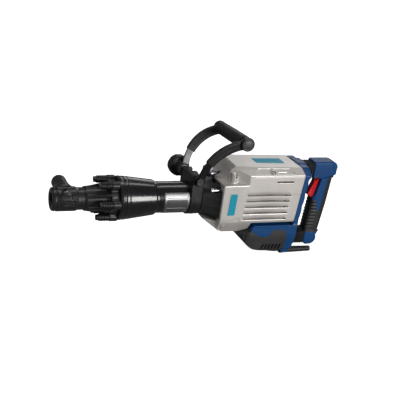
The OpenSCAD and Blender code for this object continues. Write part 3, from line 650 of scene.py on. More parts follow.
def holder_field(p):
    x, y, z = p
    around = length(y, z)
    profile = [(0.4, 25.5), (2.5, 28), (8.5, 28.8), (8.5, 27.8), (11, 27.8), (11.5, 29.4), (57, 29.4),
               (63, 27), (77.5, 27), (78.5, 29.2), (82, 30), (128, 31), (137, 36)]
    body = lathe_field(p, profile, radius=0.7)
    collar = lathe_field(p, [(137, 42), (157, 42)], radius=0.8)
    lobes, ribs = None, None
    for angle, spot in zip(BOLT_ANGLES, BOLT_SPOTS):
        lobe = rod(p, "x", 138.3, 157, 10.3, spot, 1.0)
        lobes = lobe if lobes is None else np.minimum(lobes, lobe)
        q = turned_about_x(p, -angle - math.pi / 6, 0, 0)
        # a web between two bolts that rises towards the flange
        reach = 31 + 12 * np.clip((x - 84) / 54, 0, 1)
        rib = meet(1.2, np.abs(q[1]) - 3.0, q[2] - reach, slab(x, 84, 142), -q[2] + 20)
        ribs = rib if ribs is None else np.minimum(ribs, rib)
    flange = join(6, collar, lobes)
    shape = join(4, body, flange)
    shape = join(3.5, shape, ribs)
    boss = rod(p, "y", 0, 45.8, 17.8, PIN, 1.2)
    near_boss = rod(p, "y", -29.8, 0, 13.5, (PIN[0], 12), 2.0)
    shape = join(9, shape, boss)
    shape = join(6, shape, near_boss)
    pad = prism(p, "y", [(17, 0), (25, 10), (56, 10), (64, 0), (56, -10), (25, -10)], -31.2, -20, 1.2)
    shape = join(2.2, shape, pad)
    frame_line = prism(p, "y", [(29, 5.6), (53, 5.6), (53, -5.6), (29, -5.6)], -40, -30.4, 0.8)
    shape = cut(0.6, shape, frame_line)
    for x_stud in (34.5, 41, 47.5):
        stud = rod(p, "y", -31.3, -25, 1.5, (x_stud, 0), 0.5)
        shape = join(0.6, shape, stud)
    bore = np.maximum(hexagon_field(y, z, 30), x - 104)
    lead_in = around - (18.6 - np.maximum(x, -3))
    tools = [bore, lead_in, rod(p, "x", 103, 160, 22), rod(p, "y", -28, 60, 8.05, PIN),
             rod(p, "y", 28, 60, 12.1, PIN)]
    tools += [rod(p, "x", 130, 160, 5.5, spot) for spot in BOLT_SPOTS]
    return cut(0.5, shape, *tools)


def build_nose():
    cast_node("nose_casting", "tool_holder", holder_field, MEDIUM, "nose_paint")
    knob_end = cad("retainer_knob")[1][1]
    outline = [(46.6, 0), (46.6, 17.2), (48, 18), (52, 18), (52.6, 17.3), (54.2, 17.3), (54.8, 18),
               (59, 18), (63, 16.6), (65.4, 13.5), (knob_end, 9), (knob_end, 0)]
    knob = lathe("retainer_cap", outline, "y", PIN, 1.0)
    place(knob, "retainer", ["retainer_knob"], "nose_paint")


def hexagonal(along, a, b, size, low, high, edge):
    """Hexagonal bar along one coordinate, with its corners rounded off"""
    corners = length(a, b) - size / 2 * 1.115
    return meet(edge, hexagon_field(a, b, size), slab(along, low, high), corners)


def bolt_field(p):
    x, y, z = p
    head = hexagonal(x, y, z, 14, 106, 113, 0.8)
    washer_face = rod(p, "x", 111.8, 113, 7.9, (0, 0), 0.2)
    shank = rod(p, "x", 112, 175, 4.5, (0, 0), 0.6)
    thread = 0.25 * np.sin(x * 2 * math.pi / 1.75) * (x > 145)
    socket = hexagonal(x, y, z, 5.2, 104, 109.5, 0.2)
    return cut(0.3, join(0.3, head, washer_face, shank + thread), socket)


def build_bolts():
    places = [Matrix.Translation((0, y * MM, z * MM)) for y, z in BOLT_SPOTS]
    one = cast("one_bolt", bolt_field, (106, -9, -9), (175, 9, 9), FINE)
    place(copies("nose_bolt_set", one, places), "frame", ["nose_bolts"], "black_oxide")

    discs = 6
    start, end = 113.0, 138.0
    pitch = (end - start) / discs
    outline = [(start, 5.6)]
    for i in range(discs):
        low = start + i * pitch
        outline += [(low + 0.1, 6.8), (low + 0.5, 8.9), (low + 1.0, 9.15), (low + pitch - 1.0, 9.15),
                    (low + pitch - 0.4, 8.8), (low + pitch - 0.1, 7.0)]
    outline += [(end, 5.6)]
    one = lathe("one_stack", outline, "x", (0, 0), 0.25, closed=True)
    place(copies("disc_spring_set", one, places), "frame", ["spring_stacks"], "black_oxide")


def build_barrel():
    outline = [(157, 30), (157, 51.4), (158.6, 53.6), (166.5, 53.9), (168, 52.2), (171.5, 52.2),
               (172.6, 53.4), (178, 52.8), (179, 52.0), (181, 51.8), (182, 52.3), (240, 44.9), (248, 44.0),
               (252.2, 42.4), (253, 39.4), (253, BARREL_R + 0.02), (200, BARREL_R + 0.02), (200, 30)]
    sleeve = lathe("sleeve_cover", outline, radius=0.9, closed=True)
    place(sleeve, "frame", ["front_sleeve"], "gloss_black")
    wall = BARREL_R - 0.02
    outline = [(200, 28), (200, wall), (256, wall), (256.6, 38.5), (258.2, 38.5), (258.8, wall),
               (395.4, wall), (396, 41), (405, 41), (405, 28)]
    barrel = lathe("barrel_tube", outline, radius=0.5, closed=True)
    place(barrel, "frame", ["barrel"], "gloss_black")


PLATE_X0, PLATE_X1 = 270.0, 334.0
PLATE_R = BARREL_R + 0.5


def unrolled(p):
    """x, arc length upward from the -Y side, and radius from the barrel's axis"""
    return p[0], np.arctan2(p[2], -p[1]) * PLATE_R, length(p[1], p[2])


def plate_part(p, margin, low, high, floor, top, edge):
    """Block that follows the barrel, set in by a margin from both ends of the plate"""
    return block(unrolled(p), (PLATE_X0 + margin, low, floor), (PLATE_X1 - margin, high, top), edge)


def plate_field(p):
    x, u, r = unrolled(p)
    sheet = plate_part(p, 0, -40, 25, 38.9, 39.9, 0.3)
    rim = plate_part(p, 1.5, -38, 23, 39, 40.5, 0.5)
    window = plate_part(p, 6, -15.5, 7.5, 39.7, 45, 0.6)
    band_low = plate_part(p, 4, -34, -19.5, 40.1, 45, 0.4)
    band_high = plate_part(p, 4, 11.5, 19.5, 40.1, 45, 0.4)
    shape = cut(0.3, join(0.4, sheet, rim), window, band_low, band_high)
    for x_rivet in (PLATE_X0 + 8, PLATE_X1 - 8):
        rivet = length(x - x_rivet, u + 27, (r - 40.1) * 1.6) - 1.8
        shape = join(0.3, shape, rivet)
    return np.maximum(shape, BARREL_R - r)


def panel_field(p):
    return plate_part(p, 6.4, -15.1, 7.1, 39.0, 39.95, 0.3)


def build_nameplate():
    cast_node("rating_plate", "nameplate", plate_field, FINE, "plate_silver")
    panel = cast("rating_panel", panel_field, (PLATE_X0, -41, -18), (PLATE_X1, -34, 12), FINE)
    place(panel, "frame", ["nameplate"], "plate_silver", "plate_grey")


# ------------------------------------------------------------------ side handle

STRAP_X0, STRAP_X1 = 336.0, 364.0
TILT_X, TILT_Z = TILT = (345.0, 56.0)
CROSS_BORE = 6.0
SWING = math.radians(4)
GRIP_X, GRIP_Z = GRIP = (449.0, 156.0)
GRIP_HALF = 79.0
ARM_Y = 55.0
LEAN = math.atan((GRIP_HALF - ARM_Y) / (GRIP_Z - TILT_Z))
BOW_CENTRE = (GRIP_X + 10, TILT_Z - 8)
BOW_R = math.dist(GRIP, BOW_CENTRE)
BOW_END = math.degrees(math.atan2(GRIP_Z - BOW_CENTRE[1], GRIP_X - BOW_CENTRE[0]))


def strap_field(p):
    x, y, z = p
    q = both_sides(p)
    inner, outer = BARREL_R + 0.05, 42.9
    around = length(y, z)
    band = rounded_pair(np.maximum(around - outer, inner - around), slab(x, STRAP_X0, STRAP_X1), 0.8)
    band = np.maximum(band, z - 1)
    leg = block(q, (STRAP_X0, inner, -2), (STRAP_X1, outer, 65), 0.9)
    round_end = rod(q, "y", inner, outer, 13, (TILT_X + 4, TILT_Z - 4), 0.6)
    leg = np.minimum(leg, meet(0.8, round_end, STRAP_X0 - x))
    seat = rod(q, "y", 42.2, 43.0, 10.5, TILT, 0.3)
    bead = rounded_pair(np.maximum(around - 43.0, 40 - around), slab(x, 347, 353), 0.8)
    shape = join(1.5, np.minimum(band, leg), seat, np.maximum(bead, z - 20))
    return cut(0.4, shape, rod(p, "y", -60, 60, CROSS_BORE, TILT), around - inner)


def saddle_field(p):
    half = BARREL_R - 0.1
    form = block(p, (STRAP_X0 + 1, -half, 22), (STRAP_X1 - 1, half, 64.8), 2.0)
    pocket = block(both_sides(p), (STRAP_X0 + 14, 6, 50), (STRAP_X1 + 3, 32, 70), 2.0)
    barrel = length(p[1], p[2]) - (BARREL_R + 0.1)
    return cut(0.8, form, barrel, rod(p, "y", -60, 60, CROSS_BORE, TILT), pocket)


def cross_bolt_field(p):
    x, y, z = p
    shank = rod(p, "y", -63, 76, CROSS_BORE - 0.05, TILT, 0.5)
    head = hexagonal(y, x - TILT_X, z - TILT_Z, 17.3, -69, -62.8, 0.9)
    mark = rod(p, "y", -70, -68.3, 5.0, TILT, 0.3)
    return cut(0.3, join(0.4, shank, head), mark)


def knob_field(p):
    x, y, z = p
    hub = rod(p, "y", 62, 80, 13.8, TILT, 1.5)
    disc = rod(p, "y", 73.8, 99.8, 27, TILT, 6.0)
    shape = join(3, hub, disc)
    angle = np.arctan2(z - TILT_Z, x - TILT_X)
    sector = math.pi / 3
    folded = (angle + 2 * math.pi) % sector - sector / 2
    radius = length(x - TILT_X, z - TILT_Z)
    flute = length(radius * np.cos(folded) - 35, radius * np.sin(folded)) - 8.6
    shape = cut(2.0, shape, flute)
    dish = length(radius, y - 112) - 16
    ring = np.abs(radius - 10.5) - 0.7
    groove = np.maximum(ring, 98.6 - y)
    shape = cut(0.6, cut(1.5, shape, dish), groove)
    return cut(0.3, shape, rod(p, "y", 61, 77, CROSS_BORE, TILT))


def arm_frame(p):
    """Height over an arm's own middle plane, radius from the bow's centre and angle in degrees.

    It is that of the +Y arm, with the -Y arm mirrored onto it.
    """
    x, y, z = p
    c, s = math.cos(LEAN), math.sin(LEAN)
    dy, dz = np.abs(y) - ARM_Y, z - TILT_Z
    across = c * dy - s * dz
    up = TILT_Z + s * dy + c * dz
    radius = length(x - BOW_CENTRE[0], up - BOW_CENTRE[1])
    angle = np.degrees(np.arctan2(up - BOW_CENTRE[1], x - BOW_CENTRE[0]))
    angle = np.where(angle < -90, angle + 360, angle)
    return across, radius, angle


def arc_bar(p, start, end, half_w, half_t, edge):
    """Part of both arms between two angles in degrees"""
    across, radius, angle = arm_frame(p)
    ends = (np.abs(angle - (start + end) / 2) - abs(start - end) / 2) * math.pi / 180 * BOW_R
    section = rounded_pair(np.abs(radius - BOW_R) - half_w, np.abs(across) - half_t, edge)
    return rounded_pair(section, ends, min(edge, 1.0))


def bow_field(p):
    q = both_sides(p)
    bars = arc_bar(p, 176, BOW_END, 8.9, 2.95, 1.0)
    eye = rod(q, "y", 43.2, 59, 12.9, TILT, 1.2)
    foot = rod(q, "y", 52, 58, 11, (TILT_X + 6, TILT_Z), 1.0)
    rail = rod(p, "y", -GRIP_HALF - 2, GRIP_HALF + 2, 8, GRIP, 0.4)
    shape = join(0.5, join(2.5, bars, eye, foot), rail)
    return cut(0.4, shape, rod(p, "y", -100, 100, CROSS_BORE, TILT))


def cover_field(p):
    q = both_sides(p)
    across, radius, angle = arm_frame(p)
    # the cover is widest in its middle and thins a little towards its lower step
    share = np.clip((150 - angle) / (150 - BOW_END), 0, 1)
    half_w = 11.6 + 0.9 * np.sin(share * math.pi) + 0.3 * share
    ends = (np.abs(angle - (150 + BOW_END) / 2) - (150 - BOW_END) / 2) * math.pi / 180 * BOW_R
    section = rounded_pair(np.abs(radius - BOW_R) - half_w, np.abs(across) - 5.4, 3.2)
    bar = rounded_pair(section, ends, 1.5)
    hub = rod(q, "y", GRIP_HALF - 7, GRIP_HALF + 5.3, 15.4, GRIP, 2.0)
    shape = join(5, bar, hub)
    rib = np.maximum(np.abs(radius - BOW_R) - 1.2, np.abs(np.abs(across) - 5.5) - 0.6)
    rib = np.maximum(rib, np.abs(angle - 128) - 14)
    shape = cut(0.6, shape, rib)
    tools = [arc_bar(p, 156, BOW_END - 3, 9, 3, 0.5), rod(p, "y", -100, 100, 8, GRIP),
             rod(q, "y", GRIP_HALF + 5.5, 110, 20, GRIP)]
    return cut(0.4, shape, *tools)


def swung(field):
    """The field of a shape turned with the clamp around the barrel"""
    return lambda p: field(turned_about_x(p, -SWING, 0, 0))


def swing_round(made):
    made.data.transform(Matrix.Rotation(-SWING, 4, "X"))
    return made


def build_side_handle():
    swung_pieces = (
        ("clamp_band", "clamp_strap", strap_field, FINE * 1.3, "strap_black", "clamp_body"),
        ("clamp_block", "clamp_saddle", saddle_field, MEDIUM, "strap_black", "clamp_body"),
        ("clamp_bolt", "cross_bolt", cross_bolt_field, FINE, "black_oxide", "bow_body"),
        ("clamp_wing_knob", "clamp_knob", knob_field, FINE * 1.2, "hood_black", "knob_body"),
        ("bow_bars", "handle_bow", bow_field, MEDIUM, "arm_steel", "bow_body"),
    )
    for name, node, field, step, slot, body in swung_pieces:
        cast_node(name, node, swung(field), step, slot, body, below=4, above=4)
    cast_node("bow_rubber", "bow_covers", swung(cover_field), MEDIUM, "soft_rubber", "bow_body",
              below=(0, 4, 0), above=(22, 4, 8))

    half = GRIP_HALF - 10
    rings = [start + 3.4 * i for start in (-half + 3.6, half - 12.6) for i in range(3)]
    outline = [(-half, 8.02), (-half, 15.6), (-half + 1.2, 16.8)]
    for ring in rings:
        if ring > 0 > outline[-1][0]:
            outline += [(-30, 17.0), (0, 17.3), (30, 17.0)]
        outline += [(ring, 16.8), (ring + 0.6, 16.2), (ring + 1.6, 16.2), (ring + 2.2, 16.8)]
    outline += [(half - 1.2, 16.8), (half, 15.6), (half, 8.02)]
    sleeve = lathe("grip_sleeve", outline, "y", GRIP, 0.5, closed=True)
    place(swing_round(sleeve), "bow_body", ["side_grip"], "soft_rubber")
    for side, name in ((-1, "grip_cap_near"), (1, "grip_cap_far")):
        outline = [(5.6, 0), (5.6, 16.6), (6.4, 17), (11, 17), (13.2, 15.4), (14, 14.6), (14, 12.2),
                   (13, 11.9), (13, 10.6), (13.7, 10.2), (13.9, 0)]
        outline = [(side * (GRIP_HALF + a), r) for a, r in outline]
        cap = lathe(name, outline, "y", GRIP, 0.5)
        place(swing_round(cap), "bow_body", ["grip_caps"], "hood_black")


# ------------------------------------------------------------------ hood and shroud

HALF_W = 76.0
TOP = 94.0
SHOULDER = 81.0
FLANK = math.radians(19)
FRONT = 405.0
WALL = 4.0
HOOD_SCREW = (386, 53, 36)
POST_SCREW = (439, 57, 71)
FLANK_SCREW = (537, 63, 81)


def lean_at(z):
    """Where the shroud's rear edge stands at a height"""
    return 610 + 14 / (TOP + 54) * (z + 54)


def hood_field(p):
    x, y, z = p
    share = np.clip((x - 366) / 39, 0, 1)
    small = length(y, z) - 42
    large = polygon(y, z, mirrored([(46, -43), (66, -32), (66, 34), (46, 50)]))
    eased = share ** 1.2
    form = rounded_pair((1 - eased) * small + eased * large, slab(x, 366, FRONT), 1.2)
    q = both_sides(p)
    # stiffening ribs on the flanks
    for height in (14, -4, -22):
        rib = np.abs(z - height) - 1.5
        form = join(1.5, form, np.maximum(np.maximum(rib, form - 1.4), 374 - x))
    tools = [rod(p, "x", 360, 396, BARREL_R + 0.3), rod(p, "x", 395.5, 410, 41.3),
             rod(q, "x", 360, 410, 6.5, (53, 36)),
             block(q, (396, 8, 42), (402, 30, 60), 1.0), rod(p, "x", 380, 410, 9.2, (0, 61))]
    return cut(0.8, form, *tools)


def shroud_outer(p):
    """The die casting's outside, with no openings"""
    side = prism(p, "y", [(FRONT, -44), (FRONT, -62), (424, -77.5), (466, -79.5), (492, -69), (499, -54),
                          (lean_at(-54), -54), (lean_at(78), 78), (482, 78), (473, 57), (FRONT, 55.5)],
                 -HALF_W, HALF_W, 3.5)
    section = mirrored([(48, -78), (68, -52), (HALF_W, -40), (HALF_W, 90)])
    section = prism(p, "x", section, 380, 660, 6.0)
    low = meet(3, side, section)
    profile = [(FRONT, 30), (FRONT, 57), (421, 66), (427.5, 77)] + arc(450, 72, 24, 145, 75, 5)
    profile += [(492, TOP), (lean_at(TOP - 2) - 0.5, TOP - 2), (lean_at(30) - 0.5, 30)]
    profile = prism(p, "y", profile, -HALF_W, HALF_W, 2.5)
    hill = mirrored([(HALF_W, 20), (HALF_W, SHOULDER), (50, TOP - 4), (44, TOP + 2)])
    hill = prism(p, "x", hill, 380, 660, 3.0)
    plan = mirrored([(440, 48), (472, HALF_W), (680, HALF_W)], (1, -1))
    plan = prism(p, "z", plan, 20, 120, 4.0)
    gear_cover = rod(p, "z", 20, 120, 50, (455, 0), 2)
    high = meet(2, profile, hill, join(8, plan, gear_cover))
    return join(1, low, high)


def louvre_tools(q, tall=12.4):
    """Scoops that are deepest in the middle, each with a slot there"""
    x, y, z = q
    tools, slots = [], []
    for i in range(5):
        bottom = 26.8 - 15.75 * i
        left, right = 468.5 - 1.3 * i, 592 - 1.3 * i
        middle = (left + right) / 2 - 4
        share = np.clip((x - middle) / 40, -1, 1)
        deep = 4.2 + 3.8 * (1 - share * share) ** 1.5
        down = np.clip((bottom + tall - z) / tall, 0, 1)
        floor = HALF_W - deep * down ** 1.5 - y
        window = polygon(x, z, [(left + 1.5, bottom + tall), (right - 16, bottom + tall),
                                (right - 4, bottom + 3.5), (right, bottom), (left, bottom)])
        tools.append(np.maximum(window, floor))
        slots.append(block(q, (left + 4, 60, bottom + 0.6), (right - 12, 90, bottom + 3.0), 0.6))
    return tools, slots


def shroud_field(p):
    x, y, z = p
    q = both_sides(p)
    outer = shroud_outer(p)
    chin = prism(p, "y", [(372, -43), (406, -44), (412, -70), (404, -64)], -70, 70, 1.0)
    chin = meet(2.0, chin, np.abs(y) - (34 + (x - 372) * 0.74))
    outer = join(3, outer, chin)

    # the side panel stands proud behind an edge that runs under the label and up behind it
    step = prism(q, "y", [(FRONT - 8, -36), (424, -37.5), (442, -34), (456, -29), (458, -50), (452, -62),
                          (430, -70), (FRONT - 8, -70)], 70, 90, 3.0)
    outer = cut(1.5, outer, np.maximum(step, 74.4 - q[1]))
    post = rod(q, "z", 40, 80, 8.6, (436, 55), 1.0)
    front_web = block(q, (424.5, 44, 40), (427.5, 62, 76), 1.0)
    rear_web = block(q, (444.5, 44, 40), (447.5, 64, 76), 1.0)
    webs = meet(1, join(2, front_web, rear_web), z - 78, rod(q, "z", 20, 90, 58.5, (452, 0)))
    outer = join(2.0, outer, post, webs)
    low_rib = meet(1.5, rod(q, "z", -74, -40, 4.0, (418, 67), 1.0), outer - 2.6)
    outer = join(2.0, outer, low_rib)
    # a sunk band high on the flank, and a raised seat round the screw on it
    band = prism(q, "y", [(478, 82.5), (598, 82.5), (588, 89.0), (500, 89.0)], 40, 90, 1.0)
    outer = cut(0.6, outer, np.maximum(band, -(outer + 1.8)))
    flank_boss = length(x - 537, (q[1] - 60.5) * 0.6, z - 85.0) - 6.5
    outer = join(1.0, outer, np.maximum(flank_boss, outer - 0.9))

    scoops, slots = louvre_tools(q)
    inner = outer + WALL
    shell = np.maximum(cut(0.7, outer, *scoops), -inner)
    thick = np.maximum(outer + 1.0, -(outer + 8.5))
    backing = np.maximum(thick, slab(z, -38, 42))
    backing = np.maximum(backing, slab(x, 455, 600))
    shell = np.minimum(shell, np.maximum(cut(0.7, backing, *scoops), 66.5 - q[1]))
    mouth = mirrored([(47, -43.6), (67, -33), (67, 35), (47, 51)])
    mouth = prism(p, "x", mouth, FRONT - 8, FRONT + WALL + 2, 0.5)
    over_post = rod(q, "z", 60, 90, 6.6, POST_SCREW[:2])
    s, c = math.sin(FLANK), math.cos(FLANK)
    out, up = q[1] - FLANK_SCREW[1], z - FLANK_SCREW[2]
    flank_hole = np.maximum(length(x - FLANK_SCREW[0], out * c - up * s) - 6.2, -(out * s + up * c) - 1.5)
    tools = [mouth, block(q, (545, 66, 61.6), (592, 90, 65.2), 1.2),
             block(q, (552, 60.5, 76), (577, 64, 92), 1.0), rod(p, "x", 396, 425, 6.1, (0, 61)),
             flank_hole, np.maximum(over_post, POST_SCREW[2] - z),
             block(p, (576, -72, -50), (680, 72, 70), 1.0), block(p, (492, -72, -90), (680, 72, -40), 1.0)]
    return cut(0.6, shell, *tools, *slots)


def screw_field(p):
    """Cap screw standing on z = 0, with its socket on top"""
    x, y, z = p
    radius, head = 6.0, 6.0
    body = join(0.4, rod(p, "z", 0, head, radius, (0, 0), 0.7), rod(p, "z", -20, 0.5, 4, (0, 0), 0.3))
    knurled = (z > 0.8) & (z < head - 1.2) & (length(x, y) > radius - 1)
    body = body + 0.12 * (np.cos(np.arctan2(y, x) * 30) > 0) * knurled
    return cut(0.2, body, hexagonal(z, x, y, 5.0, 2.8, head + 2, 0.2))


def build_screws():
    one = cast("one_screw", screw_field, (-6, -6, -20), (6, 6, 6), FINE * 0.8)
    upright = Matrix.Identity(4)
    forward = Matrix.Rotation(-math.pi / 2, 4, "Y")
    places = []
    for side in (-1, 1):
        leaning = Matrix.Rotation(-side * FLANK, 4, "X")
        for (x, y, z), turn in ((HOOD_SCREW, forward), (POST_SCREW, upright), (FLANK_SCREW, leaning)):
            places.append(Matrix.Translation((x * MM, side * y * MM, z * MM)) @ turn)
    place(copies("cover_screws", one, places), "frame", ["case_screws"], "zinc_steel")


def build_body():
    cast_node("hood_shell", "front_hood", hood_field, MEDIUM, "hood_black")
    cast_node("shroud_casting", "shroud", shroud_field, COARSE, "cast_silver")
    outline = [(391.5, 0), (391.5, 5.2), (393, 7.6), (395, 8.4), (399, 8.5), (402, 8.5), (402, 6),
               (412, 6), (412, 0)]
    place(lathe("grease_plug", outline, "x", (0, 61), 0.9), "frame", ["grease_cap"], "spring_steel")


def build_labels():
    side = [(425.5, 34), (443.5, 33), (441, -22), (423, -22)]
    made = rounded_sheet("label_near", side, 2.0, "y", -HALF_W - 0.02, -0.35)
    place(made, "frame", ["labels"], "label_teal")
    top = [(509, -16), (509, 16), (589, 17.5), (589, -17.5)]
    made = rounded_sheet("label_top", top, 3.0, "z", TOP + 0.02, 0.4)
    fall = 2 / (lean_at(TOP - 2) - 492)
    for vertex in made.data.vertices:
        vertex.co.z -= fall * (vertex.co.x - 492 * MM)
    place(made, "frame", ["labels"], "label_teal")


# ------------------------------------------------------------------ motor housing and boot

MOTOR_X = 548.0
BASE_Z = cad("motor_housing")[0][2]
GUARD_Y, GUARD_Z = -40.0, -138.0
LINK_HEIGHTS = (72.0, -114.0)


def belly_field(p):
    """Outside of the motor housing's belly"""
    side = arc(560, -40, 96, 204, 268, 8)
    side += [(588, BASE_Z), (618, BASE_Z), (624, -128), (624, -54), (500, -54), (495, -70)]
    side = prism(p, "y", side, -HALF_W, HALF_W, 3.0)
    section = mirrored([(33, BASE_Z), (62, -124), (HALF_W, -78), (HALF_W, 20)])
    section = prism(p, "x", section, 430, 680, 7.0)
    plan = mirrored([(460, 40), (492, HALF_W), (700, HALF_W)], (1, -1))
    plan = prism(p, "z", plan, -200, 100, 8.0)
    return meet(4, side, section, plan)


def vent_tools(p, wider=0.0):
    """Slanted slots low on both flanks"""
    tools = []
    for i in range(6):
        middle = 538 + 9.6 * i
        q = both_sides(turned_about_y(p, math.radians(-14), middle, -114))
        half = 2.1 + wider
        tools.append(block(q, (middle - half, 25, -127), (middle + half, 90, -108), 1.0))
    return tools


def housing_field(p):
    x, _, z = p
    q = both_sides(p)
    belly = belly_field(p)
    # the strip behind the shroud, its rear edge drawn in between the ribs that face the fingers
    wave = 1.2 * np.cos((z + 20) * 2 * math.pi / 34)
    strip = prism(p, "y", [(lean_at(-58), -58), (lean_at(TOP), TOP - 2), (645, TOP - 2), (636, 62),
                           (lean_at(-58) + 14, -58)], -75, 75, 2.0)
    strip = np.maximum(strip, x - (lean_at(z) + 14 + wave + np.maximum(z - 66, 0) * 0.4))
    crown = mirrored([(75, -60), (75, SHOULDER - 2), (50, TOP - 5), (44, TOP - 1)])
    strip = meet(2.5, strip, prism(p, "x", crown, 600, 700, 3.0))
    head = prism(p, "x", mirrored([(26, 48), (26, 89), (20, TOP)]), 600, 650, 3.0)
    foot = prism(p, "x", mirrored([(20, -134), (20, -94)]), 600, 640, 3.0)
    boss = rod(p, "x", 601, 622, 12, (GUARD_Y, GUARD_Z + 4), 1.5)
    outer = join(5, belly, strip, np.maximum(head, lean_at(z) - x), foot, boss)
    outer = np.maximum(outer, BASE_Z - z)
    # parting line round the belly and screw bosses at its rear
    seam = np.maximum(np.abs(z + 57) - 0.5, -(outer + 0.8))
    rear_boss = rod(q, "x", 600, 625.6, 7.0, (60, -100), 0.8)
    outer = join(2, cut(0.3, outer, seam), rear_boss)
    hollow = belly + 6
    tub = rod(p, "z", -119, 20, 53, (MOTOR_X, 0), 1.0)
    tub = np.maximum(tub, np.minimum(belly + 3, -90 - z))
    shell = np.minimum(np.maximum(outer, -hollow), tub)
    above = np.maximum(-54 - z, x - lean_at(z))
    shell = np.maximum(shell, -np.maximum(above, -tub))
    tools = [rod(p, "z", -104, 21, 49, (MOTOR_X, 0)), rod(p, "z", -116.5, -103, 13, (MOTOR_X, 0))]
    tools += [rod(p, "x", 627, 700, 6, (0, height)) for height in LINK_HEIGHTS]
    tools += [rod(p, "x", 600, 640, 9, (GUARD_Y, GUARD_Z)), rod(q, "x", 622.6, 640, 4.4, (60, -100), 0.5)]
    return cut(0.6, shell, *tools, *vent_tools(p, 1.0))


def boot_field(p):
    x, _, z = p
    belly = belly_field(p)
    low = meet(1.0, z + 84, x - 599)
    tab = prism(p, "y", [(541, -90), (557, -66), (591, -66), (599, -90)], -90, 90, 1.5)
    # the boot's edge climbs to the shroud at the front
    toe = [(440, -58), (487, -58), (490, -64), (520, -82), (520, -100), (440, -100)]
    zone = join(3, low, tab, prism(p, "y", toe, -90, 90, 1.5))
    # a step where the boot meets the front, and upright ribs that fade out towards the side
    ribs = 0.5 * np.cos((x - 470) * 2 * math.pi / 6.5)
    ribs = ribs * np.clip((496 - x) / 16, 0, 1) * np.clip((z + 128) / 20, 0, 1)
    shell = meet(1.2, belly - 0.9 + ribs, -(belly + 2.4), zone)
    shell = cut(0.5, shell, *vent_tools(p))
    return np.maximum(shell, BASE_Z - z)


def guard_field(p):
    x, y, z = p
    share = np.clip((x - 610) / 78, 0, 1)
    radius = 8.6 - 1.6 * share
    around = length(y - GUARD_Y, z - GUARD_Z)
    # relief slots that let the sleeve bend, in alternate pairs
    ring = np.abs((x - 612) % 7 - 3.5) - 1.0
    turned = np.where(((x - 612) // 7) % 2 > 0.5, np.abs(y - GUARD_Y), np.abs(z - GUARD_Z))
    slot = np.maximum(np.maximum(ring, 3.0 - turned), np.maximum(618 - x, x - 680))
    body = rounded_pair(around - radius, slab(x, 602, 690), 0.8)
    collar = rod(p, "x", 602, 610, 9, (GUARD_Y, GUARD_Z), 0.6)
    shape = cut(0.5, join(1.0, body, collar), np.maximum(slot, 6.0 - around))
    return cut(0.4, shape, around - 4.5)


# ------------------------------------------------------------------ rear handle

HANDLE_W = 18.0


def grip_core(p):
    """Outside of the handle's grip and lobes"""
    x, y, z = p
    side = [(676, 95)] + arc(730, 79, 16, 90, -20, 6)
    side += [(744, 60), (738, 57), (734, -20), (722, -97), (720, -104)] + arc(701, -119, 18, 30, -100, 5)
    side += [(690, -137), (680, -131), (681, -96), (681, -89), (686, -6), (694, 4), (704, 46), (697, 50),
             (676, 50)]
    body = prism(p, "y", side, -HANDLE_W, HANDLE_W, 2.0)
    # round the long sides of the grip more than its ends
    middle = 709.5 + 0.11 * (z + 20)
    oval = length((x - middle) / 27.0, y / 19.0) - 1
    grip = np.where((z < 52) & (z > -96), oval * 18, -9.0)
    body = meet(5, body, grip)
    top = prism(p, "y", [(676, 95), (730, 95), (738, 60), (704, 50), (676, 50)], -22, 22, 4.0)
    lobe = [(681, -96), (708, -101), (714, -112), (707, -131), (690, -134), (681, -129)]
    return join(3.5, body, top, prism(p, "y", lobe, -21, 21, 4.0))


def handle_field(p):
    shape = grip_core(p)
    seam = np.maximum(np.abs(p[1]) - 0.35, -(shape + 0.6))
    shape = cut(0.3, shape, seam)
    tools = [block(p, (676, -9, -20), (714, 9, 58), 0.5), block(p, (707, -13, -16), (718.2, 13, 48)),
             rod(p, "y", -13, 13, 3.05, (697, 43))]
    tools += [rod(p, "x", 660, 700, 6.05, (0, height)) for height in LINK_HEIGHTS]
    return cut(0.5, shape, *tools)


def overmould_field(p):
    x, _, z = p
    core = grip_core(p)
    q = both_sides(p)
    front = x - (688 + 0.05 * (z + 50))
    rear = (715 + 0.14 * (z + 20)) - x
    # everything below a slanting edge, but for a blue wedge that reaches down into it
    low = z + 14 + 0.5 * (x - 700)
    zone = join(3, front, rear, low)
    spear = prism(q, "y", [(700, 10), (719, 20), (716, -28), (709, -48), (703, -28)], 0, 40, 2.0)
    zone = cut(2, zone, spear)
    limits = meet(2, z - 56, -z - 101, zone)
    ribs = 0.55 * np.cos((z + 20) * 2 * math.pi / 9.0)
    ribs = ribs * np.clip((30 - z) / 20, 0, 1) * np.clip((z + 92) / 12, 0, 1)
    ribs = ribs * np.clip((712 + 0.14 * (z + 20) - x) / 6, 0, 1)
    shell = meet(0.8, core - 0.75 + ribs, -(core + 1.6), limits)
    pocket = block(p, (670, -9.3, -19), (716, 9.3, 60), 0.5)
    return cut(0.5, shell, pocket)


def trigger_field(p):
    x, _, z = p
    lever = [(690, 46), (701, 48), (702, 40), (700, 18), (697, -6), (691, -9), (675, 3), (688, 34)]
    lever = prism(p, "y", lever, -8.4, 8.4, 2.2)
    axle = rod(p, "y", -12.6, 12.6, 3, (697, 43), 0.3)
    ribs = 0.3 * np.cos(z * 2 * math.pi / 4.2) * np.clip((690 - x) / 6, 0, 1)
    hollow = prism(p, "y", [(690, 4), (695, 36), (698.5, 36), (696, 4)], -5, 9, 0.4)
    return cut(0.4, join(0.5, lever + ribs, axle), hollow)


